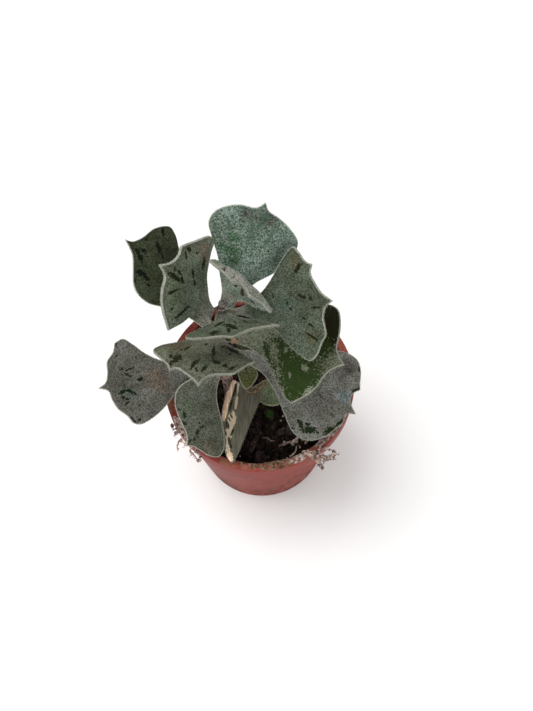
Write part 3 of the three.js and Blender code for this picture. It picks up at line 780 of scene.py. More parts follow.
class Scatter:
    """A Geometry Nodes tree that spreads small copies over a surface, where its attribute is high."""

    def __init__(self, name: str, attribute: str, copy: Copy) -> None:
        """Builds the tree.

        Args:
            name: The tree's name.
            attribute: The vertex attribute that thins the copies out, from 0 to 1.
            copy: What one copy is.
        """
        self.tree = bpy.data.node_groups.new(name, "GeometryNodeTree")
        kinds = {"Geometry": "Geometry", "Seed": "Int", "Finish": "Material"}
        names = ("Geometry", "Density", "Length", "Width", "Lean", "Sink", "Seed", "Finish")
        self.inputs = {key: self.socket(key, "INPUT", kinds.get(key, "Float")) for key in names}
        self.socket("Geometry", "OUTPUT", "Geometry")
        self.build(attribute, copy)

    def socket(self, name: str, way: str, kind: str) -> str:
        """Adds a socket to the tree's interface and gives its identifier."""
        return self.tree.interface.new_socket(name, in_out=way, socket_type=f"NodeSocket{kind}").identifier

    def node(self, kind: str, inputs: dict, output: int = 0, **settings) -> Socket:
        """Adds a node to the tree and gives one of its outputs."""
        return add_node(self.tree, kind, inputs, **settings).outputs[output]

    def build(self, attribute: str, copy: Copy) -> None:
        """Adds the tree's nodes and links.

        Args:
            attribute: The vertex attribute that thins the copies out.
            copy: What one copy is.
        """
        given = add_node(self.tree, "NodeGroupInput").outputs
        seed, lean, width = given["Seed"], given["Lean"], given["Width"]
        where = self.node("GeometryNodeInputNamedAttribute", {"Name": attribute}, data_type="FLOAT")
        density = self.node("ShaderNodeMath", {0: given["Density"], 1: where}, operation="MULTIPLY")
        spread = {"Mesh": given["Geometry"], "Density": density, "Seed": seed}
        spread = add_node(self.tree, "GeometryNodeDistributePointsOnFaces", spread).outputs
        back = self.node("ShaderNodeMath", {0: lean, 1: -1.0}, operation="MULTIPLY")
        low, high = (self.node("ShaderNodeCombineXYZ", {i: end for i in range(3)}) for end in (back, lean))
        tilt = {"Min": low, "Max": high, "Seed": seed}
        tilt = self.node("FunctionNodeRandomValue", tilt, data_type="FLOAT_VECTOR")
        turn = {0: spread["Rotation"], "Rotate By": tilt}
        turn = self.node("FunctionNodeRotateEuler", turn, rotation_type="EULER", space="LOCAL")
        share = self.node("FunctionNodeRandomValue", {2: 0.6, 3: 1.4, "Seed": seed}, 1, data_type="FLOAT")
        long = self.node("ShaderNodeMath", {0: given["Length"], 1: share}, operation="MULTIPLY")
        wide = self.node("ShaderNodeMath", {0: width, 1: share}, operation="MULTIPLY")
        size = self.node("ShaderNodeCombineXYZ", {"X": wide, "Y": width, "Z": long})
        sunk = {0: spread["Normal"], "Scale": given["Sink"]}
        sunk = self.node("ShaderNodeVectorMath", sunk, operation="SCALE")
        points = self.node("GeometryNodeSetPosition", {"Geometry": spread["Points"], "Offset": sunk})
        copies = {"Points": points, "Instance": self.node(*copy.value), "Rotation": turn, "Scale": size}
        copies = self.node("GeometryNodeInstanceOnPoints", copies)
        real = self.node("GeometryNodeRealizeInstances", {"Geometry": copies})
        dressed = self.node("GeometryNodeSetMaterial", {"Geometry": real, "Material": given["Finish"]})
        add_node(self.tree, "NodeGroupOutput", {"Geometry": dressed})

    def over(
        self, base: bpy.types.Object, name: str, finish: bpy.types.Material, **sizes: float
    ) -> bpy.types.Object:
        """Spreads copies over a base and gives them back as a plain mesh of their own.

        Args:
            base: The piece that is covered, which stays as it is.
            name: The name of the new piece.
            finish: The copies' material.
            sizes: The tree's inputs: Density for each square mm, Length, Width and Sink in mm, Lean in
                radians, and Seed.

        Returns:
            The copies as one object at the origin.
        """
        modifier = base.modifiers.new("scatter", "NODES")
        modifier.node_group = self.tree
        units = {"Density": 1 / MM**2, "Length": MM, "Width": MM, "Sink": MM, "Lean": 1.0}
        for key, unit in units.items():
            modifier[self.inputs[key]] = float(sizes.get(key, 0.0) * unit)
        modifier[self.inputs["Seed"]] = sizes["Seed"]
        modifier[self.inputs["Finish"]] = finish
        mesh = baked(base, modifier)
        mesh.name = name
        return add_object(name, mesh)


@dataclass
class Pot:
    """The round nursery pot: a tapered cup with a lip, a step under it and holes in its floor."""

    height: float = 50
    rim_radius: float = 27.5
    base_radius: float = 20
    lip_width: float = 2.4
    lip_depth: float = 5.5
    lip_step: float = 1.1
    wall: float = 1.2
    floor: float = 1.6
    edge: float = 0.6
    sides: int = 160
    drain_radius: float = 2.5
    drain_circle: float = 13
    drain_count: int = 6
    drain_sides: int = 32

    def wall_radius(self, height: float) -> float:
        """Gives the outer radius of the wall below the lip."""
        top = self.rim_radius - self.lip_step
        return self.base_radius + (top - self.base_radius) * height / (self.height - self.lip_depth)

    def profile(self) -> tuple[np.ndarray, np.ndarray]:
        """Draws the section from the middle of the underside, up outside, and down inside.

        Returns:
            Points of radius and height, and how far inside the pot each one is.
        """
        foot = self.height - self.lip_depth
        inner = self.rim_radius - self.lip_width
        # Each corner has its radius, its height, the reach of its rounding and how far inside it is.
        corners = [
            (0.0, 0.0, 0.0, 0), (self.base_radius, 0.0, self.edge, 0),
            (self.wall_radius(foot), foot, 0.35, 0), (self.rim_radius - 0.15, foot + 0.25, 0.3, 0),
            (self.rim_radius, self.height, self.edge * 1.3, 0), (inner, self.height, self.edge, 0.35),
            (self.wall_radius(foot) - self.wall, foot, 0.8, 1),
            (self.wall_radius(self.floor) - self.wall, self.floor, 0.8, 1), (0.0, self.floor, 0.0, 1),
        ]
        line, inside = [], []
        for i, (radius, height, blend, deep) in enumerate(corners):
            here = np.array([radius, height])
            curve = [here]
            if blend:
                before = np.array(corners[i - 1][:2]) - here
                after = np.array(corners[i + 1][:2]) - here
                reach = min(blend, 0.45 * np.linalg.norm(before), 0.45 * np.linalg.norm(after))
                start = here + before / np.linalg.norm(before) * reach
                end = here + after / np.linalg.norm(after) * reach
                shares = np.linspace(0, 1, 7)
                curve = [(1 - t) ** 2 * start + 2 * t * (1 - t) * here + t * t * end for t in shares]
            line += curve
            inside += [deep] * len(curve)
        return np.array(line), np.array(inside, float)

    def build(self) -> None:
        """Makes the pot, with its drainage holes cut, and settles it."""
        line, inside = self.profile()
        along = lengths(line)
        shares = np.unique(np.concatenate([along / along[-1], np.linspace(0, 1, 90)]))
        body = sample(line, shares)[1:-1]
        deep = np.interp(shares * along[-1], along, inside)[1:-1]
        heights = np.repeat(body[:, None, 1:], self.sides, 1)
        points = np.concatenate([body[:, None, :1] * circle(self.sides), heights], axis=2).reshape(-1, 3)
        points = np.vstack([points, [[0, 0, 0], [0, 0, self.floor]]])
        deep = np.concatenate([np.repeat(deep, self.sides), [0, 1]])
        shape = points, closed_band(len(body), self.sides)
        pot = make_piece("pot_moulded", shape, MouldedPlastic().make(), inside=deep)
        self.drill(pot)
        settle(pot, "pot", "pot")

    def drill(self, pot: bpy.types.Object) -> None:
        """Cuts the drainage holes.

        Args:
            pot: The pot's piece.
        """
        parts, count = [], self.drain_sides
        for middle in self.drain_circle * circle(self.drain_count):
            ring = middle + self.drain_radius * circle(count)
            rings = [np.column_stack([ring, np.full(count, z)]) for z in (-self.floor, 2 * self.floor)]
            ends = [tuple(range(count - 1, -1, -1)), tuple(range(count, 2 * count))]
            parts.append((np.vstack(rings), band(2, count) + ends))
        drill = make_piece("drill", joined(parts), None)
        cut = pot.modifiers.new("drain", "BOOLEAN")
        cut.operation, cut.solver, cut.object = "DIFFERENCE", "EXACT", drill
        pot.data = baked(pot, cut)
        bpy.data.objects.remove(drill)


@dataclass
class Soil:
    """The potting mix: an uneven, crumbly surface with bark chips and pale grit."""

    pot: Pot
    top: float = 40
    gap: float = 0.3
    side_gap: float = 0.05
    floor_gap: float = 0.1
    crumb_height: float = 0.45
    crumb_size: float = 2.6
    rings: int = 80
    sides: int = 180

    def relief(self, x: np.ndarray, y: np.ndarray) -> np.ndarray:
        """Gives the low swells and dips of the surface."""
        swell = 0.7 * np.sin(0.31 * x + 0.8) * np.cos(0.27 * y - 0.4)
        return swell + 0.35 * np.sin(0.9 * x - 0.6 * y) + 0.3 * np.cos(0.7 * x + 1.1 * y)

    def build(self) -> None:
        """Makes the soil and what lies on it."""
        outer = self.pot.wall_radius(self.top) - self.pot.wall - self.side_gap
        bottom = self.pot.floor + self.floor_gap
        foot = self.pot.wall_radius(bottom) - self.pot.wall - self.gap
        ring = circle(self.sides)
        radii = outer * (1 - np.arange(self.rings) / self.rings) ** 0.8
        flat = (radii[:, None, None] * ring).reshape(-1, 2)
        height = self.top + self.relief(flat[:, 0], flat[:, 1])
        level = np.column_stack([flat, np.zeros(len(flat))])
        height += self.crumb_height * lumps(level, self.crumb_size, 5)
        base = np.column_stack([foot * ring, np.full(self.sides, bottom)])
        points = np.vstack([np.column_stack([flat, height]), base, [[0, 0, height[-1]], [0, 0, bottom]]])
        faces, low = band(self.rings, self.sides), self.rings * self.sides
        last, peak, sole = low - self.sides, len(points) - 2, len(points) - 1
        for i in range(self.sides):
            j = (i + 1) % self.sides
            faces += [(last + i, last + j, peak), (low + i, low + j, j, i), (low + j, low + i, sole)]
        on_top = np.concatenate([np.ones(low), np.zeros(self.sides), [1, 0]])
        soil = make_piece("soil_bed", (points, faces), PottingMix().make(), crumb=on_top)
        crumb = PottingMix("potting_mix_crumbs", "#120e0b", "#382a21")
        crumbs = Scatter("soil_crumbs", "crumb", Copy.CRUMB)
        names = ("Seed", "Density", "Length", "Width", "Lean", "Sink")
        loose = [
            crumbs.over(soil, name, finish.make(), **dict(zip(names, sizes)))
            for name, finish, *sizes in (
                ("soil_crumbs", crumb, 3, 0.55, 0.42, 0.55, 1.2, 0.1),
                ("soil_chips", BARK_CHIP, 11, 0.05, 0.35, 1.1, 0.5, 0.15),
                ("soil_grit", PALE_BIT, 5, 0.012, 0.3, 0.35, 1.5, 0.3),
            )
        ]
        settle(soil, "soil", "soil")
        for piece in loose:
            settle(piece, "soil")


@dataclass
class Stem:
    """The woody stem, its side twig and the tiny leaves of its growing tip."""

    stations: tuple[Station, ...] = (
        (-8.3, -4.7, 24, 1.5), (-8.3, -4.7, 38, 1.7), (-8.6, -3.2, 47, 1.6), (-9.1, -1.4, 56, 1.5),
        (-9.5, -0.2, 65, 1.4), (-10.0, 1.0, 74, 1.3), (-10.1, 1.6, 82, 1.2), (-9.2, 1.9, 90, 1.0),
        (-8.5, 1.8, 94.5, 0.7),
    )
    twig: tuple[Station, ...] = (
        (-8.6, -3.4, 45.5, 0.9), (-6.2, -2.8, 49.5, 0.8), (-4.6, -1.6, 55, 0.7), (-3.8, 0.9, 59.6, 0.6),
        (-3.65, 0.5, 61.1, 0.5),
    )
    bud_azimuths: tuple[float, ...] = (20, 65, 110, 160, 200, 250, 290, 335)

    def at(self, height: float) -> tuple[np.ndarray, float]:
        """Finds the stem at a height.

        Args:
            height: The height above the ground.

        Returns:
            The stem's middle there, and its radius.
        """
        x, y, z, radius = np.array(self.stations).T
        middle = np.array([np.interp(height, z, axis) for axis in (x, y, z)])
        return middle, float(np.interp(height, z, radius))

    def build(self) -> None:
        """Makes the stem and twig as one piece and settles it."""
        trunk = Rod(self.stations, sides=28, steps=240).build(wobble=0.16, size=1.1, seed=1)
        twig = Rod(self.twig, sides=16, steps=60).build(wobble=0.14, size=0.8, seed=2)
        settle(make_piece("stem_bark", joined([trunk, twig]), BARK.make()), "stem", "stem")
        self.build_buds()

    def build_buds(self) -> None:
        """Makes the tiny felted leaves of the growing tip, a long one and a short one by turns."""
        x, y, z, _ = self.stations[-1]
        parts = [pebble((x, y, z + 0.1), (0.95, 0.95, 0.65), (0, 0, 0), 0.6, 9)]
        for number, azimuth in enumerate(self.bud_azimuths):
            reach, size = ((0.9, (0.85, 0.36, 0.22)), (0.4, (0.5, 0.28, 0.28)))[number % 2]
            turn = math.radians(azimuth)
            at = (x + reach * math.cos(turn), y + reach * math.sin(turn), z - 0.6)
            parts.append(pebble(at, size, (0, -25, azimuth), 0.5, number))
        settle(make_piece("stem_tip_buds", joined(parts), BUD_FELT.make()), "stem")


@dataclass
class Leaf:
    """One wedge-shaped, felted leaf with a toothed outer margin.

    The outline runs in the leaf's own plane from the left of its base, round the margin, to the
    right of its base: x outward, y to the left. A patch is an ellipse in that plane, given by its
    middle, its half length and half width, and its turn in degrees.
    """

    name: str
    slot: str
    finish: LeafFelt | DryLeaf
    azimuth: float
    rise: float
    roll: float
    outline: list[tuple]
    height: float = 0.0
    seat: float = 0.0
    at: Place | None = None
    curl: float = 0.0
    cup: float = 0.0
    hook: float = 0.0
    hook_from: float = 0.0
    middle: float = 2.0
    margin: float = 0.62
    thick_over: float = 5.0
    welt: float = 0.13
    welt_width: float = 0.32
    ripple: float = 0.22
    columns: int = 110
    rows: int = 80
    rim: float = 0.4
    side_rim: float = 0.2
    neck: float = 3.0
    patches: dict[Patch, list[tuple]] = field(default_factory=dict)

    def sides_and_margin(self) -> tuple[np.ndarray, list[np.ndarray], np.ndarray]:
        """Splits the outline at its corners.

        Returns:
            The left side from the base outwards, the margin's stretches, and the right side.
        """
        steps = 14
        marks = [point[2] if len(point) > 2 else None for point in self.outline]
        places = np.array([point[:2] for point in self.outline], float)
        final = len(places) - 1
        stretches, start = [], 0
        for i, mark in enumerate(marks):
            if i == final or mark in (TOOTH, CUSP):
                if i > start:
                    stretches.append((start, i, smooth_line(places[start : i + 1], steps)))
                start = i
        turns = [i for i, mark in enumerate(marks) if mark in (CORNER, CUSP)]

        def part(begin: int, end: int) -> list[np.ndarray]:
            """Cuts the stretches between two points of the outline.

            Args:
                begin: The first point's number.
                end: The last point's number.

            Returns:
                The stretches, or parts of them, that lie between.
            """
            cuts = []
            for low, high, line in stretches:
                first, last = max(begin, low), min(end, high)
                if last > first:
                    cuts.append(line[steps * (first - low) : steps * (last - low) + 1])
            return cuts

        left, right = np.vstack(part(0, turns[0])), np.vstack(part(turns[-1], final))
        return left, part(turns[0], turns[-1]), right[::-1]

    def grid(self, left: np.ndarray, margin: list[np.ndarray], right: np.ndarray) -> np.ndarray:
        """Lays the blade's grid out in the leaf's plane.

        Args:
            left: The left side, from the base outwards.
            margin: The margin's stretches, from left to right.
            right: The right side, from the base outwards.

        Returns:
            The grid's points, row by row from the base.
        """
        fine = np.array([0.002, 0.006, 0.013, 0.022])
        total = sum(lengths(line)[-1] for line in margin)
        across, start = [np.array([0.0, 1.0]), fine, 1 - fine], 0.0
        for line in margin:
            length = lengths(line)[-1] / total
            across.append(start + length * np.linspace(0, 1, max(6, round(self.columns * length)) + 1))
            start += length
        u = np.unique(np.round(np.clip(np.concatenate(across), 0, 1), 6))
        v = np.unique(np.concatenate([np.linspace(0, 1, self.rows + 1), 1 - fine]))
        line = np.vstack(margin)
        line = line[np.concatenate([[True], np.linalg.norm(np.diff(line, axis=0), axis=1) > 1e-9])]
        end, left_side, right_side = sample(line, u), sample(left, v), sample(right, v)
        u, v = u[None, :, None], v[:, None, None]
        sides = (1 - u) * left_side[:, None] + u * right_side[:, None]
        return sides + v * (end[None] - (1 - u) * left_side[-1] - u * right_side[-1])

    def surface(self, flat: np.ndarray) -> tuple[np.ndarray, np.ndarray]:
        """Bends the blade.

        Args:
            flat: Points of the leaf's plane.

        Returns:
            The height of the blade's middle surface at each point, and its normal there.
        """
        x, y = flat[..., 0], flat[..., 1]
        past = np.maximum(0, x - self.hook_from)
        phase = self.number() % 7
        swell = np.sin(0.42 * x + phase) * np.cos(0.38 * y - phase) + 0.6 * np.sin(0.8 * y + 0.33 * x + phase)
        height = (self.curl * x**2 + self.cup * y**2 + self.hook * past**2) / 2
        height = height + self.ripple * swell * ease((x - self.neck) / 8)
        normal = np.stack([-self.curl * x - self.hook * past, -self.cup * y, np.ones_like(x)], axis=-1)
        return height, normal / np.linalg.norm(normal, axis=-1, keepdims=True)

    def number(self) -> int:
        """Gives the leaf's own number, for its ripples and its hairs."""
        return sum(map(ord, self.name))

    def edge_distance(self, flat: np.ndarray, line: np.ndarray) -> np.ndarray:
        """Measures how far points lie from a line of the outline.

        Args:
            flat: Points of the leaf's plane.
            line: The line's points.

        Returns:
            Each point's distance.
        """
        dense = sample(line, np.linspace(0, 1, 700))
        gaps = flat.reshape(-1, 1, 2) - dense[None]
        return np.sqrt((gaps**2).sum(-1).min(1)).reshape(flat.shape[:2])

    def painted(self, flat: np.ndarray, kind: Patch) -> np.ndarray:
        """Measures how deep points lie in the patches of one kind.

        Args:
            flat: Points of the leaf's plane.
            kind: The kind of patch.

        Returns:
            Each point's depth, 1 in a patch's middle, 0 on its edge and below 0 outside.
        """
        depth = np.full(flat.shape[:2], -2.0)
        for x, y, long, wide, turn in self.patches.get(kind, ()):
            angle = math.radians(turn)
            dx, dy = flat[..., 0] - x, flat[..., 1] - y
            along = (dx * math.cos(angle) + dy * math.sin(angle)) / long
            side = (dy * math.cos(angle) - dx * math.sin(angle)) / wide
            depth = np.maximum(depth, 1 - np.hypot(along, side))
        return depth

    def turned(self, points: np.ndarray, stem: Stem) -> np.ndarray:
        """Turns and moves points from the leaf's own frame to its seat on the stem.

        Args:
            points: The points, one a row.
            stem: The stem that carries the leaf.

        Returns:
            The points in the shared frame.
        """
        a, r, o = (math.radians(angle) for angle in (self.azimuth, self.rise, self.roll))
        outward = np.array([math.cos(r) * math.cos(a), math.cos(r) * math.sin(a), math.sin(r)])
        up = np.array([-math.sin(r) * math.cos(a), -math.sin(r) * math.sin(a), math.cos(r)])
        left = math.cos(o) * np.cross(up, outward) + math.sin(o) * up
        seat = self.at
        if seat is None:
            middle, radius = stem.at(self.height)
            reach = radius + 0.3 + abs(math.sin(r))
            side = math.radians(self.seat)
            seat = (middle[0] + reach * math.cos(side), middle[1] + reach * math.sin(side), self.height)
        return points @ np.array([outward, left, np.cross(outward, left)]) + np.array(seat)

    def build(self, stem: Stem, hair: Scatter) -> None:
        """Makes the blade and its hairs and settles them.

        Args:
            stem: The stem that carries the leaf.
            hair: The tree that spreads the hairs.
        """
        left, margin, right = self.sides_and_margin()
        flat = self.grid(left, margin, right)
        outer = self.edge_distance(flat, np.vstack(margin))
        beside = np.minimum(self.edge_distance(flat, left), self.edge_distance(flat, right))
        distance = np.minimum(outer, beside)
        distance[:, 0] = distance[:, -1] = distance[-1] = 0
        height, normal = self.surface(flat)
        root = 0.9 * ease(1 - flat[..., 0] / self.neck)
        shifted = np.concatenate([flat - root[..., None] * (1, 0), height[..., None]], axis=-1)
        bend = self.margin / 2
        round_off = np.sqrt(1 - (1 - np.minimum(np.minimum(distance, flat[..., 0] + 0.02) / bend, 1)) ** 2)
        body = bend + (self.middle - self.margin) / 2 * ease(distance / self.thick_over)
        body = body + self.welt * np.exp(-(((distance - bend) / self.welt_width) ** 2))
        inner = np.zeros(distance.shape, bool)
        inner[1:-1, 1:-1] = True
        half = (body * round_off * inner)[..., None]
        top_index = np.arange(distance.size).reshape(distance.shape)
        bottom_index = top_index.copy()
        bottom_index[inner] = distance.size + np.arange(inner.sum())
        local = np.vstack([(shifted + normal * half).reshape(-1, 3), (shifted - normal * half)[inner]])
        faces = []
        for index, way in ((top_index, 1), (bottom_index, -1)):
            quads = np.stack([index[:-1, :-1], index[:-1, 1:], index[1:, 1:], index[1:, :-1]], axis=-1)
            faces += quads.reshape(-1, 4)[:, ::way].tolist()

        def both(values: np.ndarray) -> np.ndarray:
            """Gives a value for the top's points and then for the underside's."""
            return np.concatenate([values.reshape(-1), values[inner]])

        place = np.column_stack([both(flat[..., 0]), both(flat[..., 1]), np.ones(len(local))])
        place[distance.size :, 2] = -1
        paint = {kind.value: both(self.painted(flat, kind)) for kind in (BLOTCH, BARE, TINT, SECOND_TINT_AND_SHEEN)}
        paint["bare"] = np.minimum(paint["bare"], -both(self.painted(flat, KEPT)))
        paint["rim"] = both(np.maximum(1 - outer / self.rim, 1 - beside / self.side_rim))
        paint["felt"] = ease(paint["rim"] * 2)
        shape = self.turned(local, stem), faces
        blade = make_piece(f"{self.name}_blade", shape, self.finish.make(), place=place, **paint)
        hairs = hair.over(
            blade, f"{self.name}_hairs", WHITE_HAIR.make(),
            Density=26, Length=0.2, Width=0.022, Lean=0.8, Sink=0.04, Seed=self.number(),
        )
        settle(blade, self.slot, self.name)
        settle(hairs, self.slot)


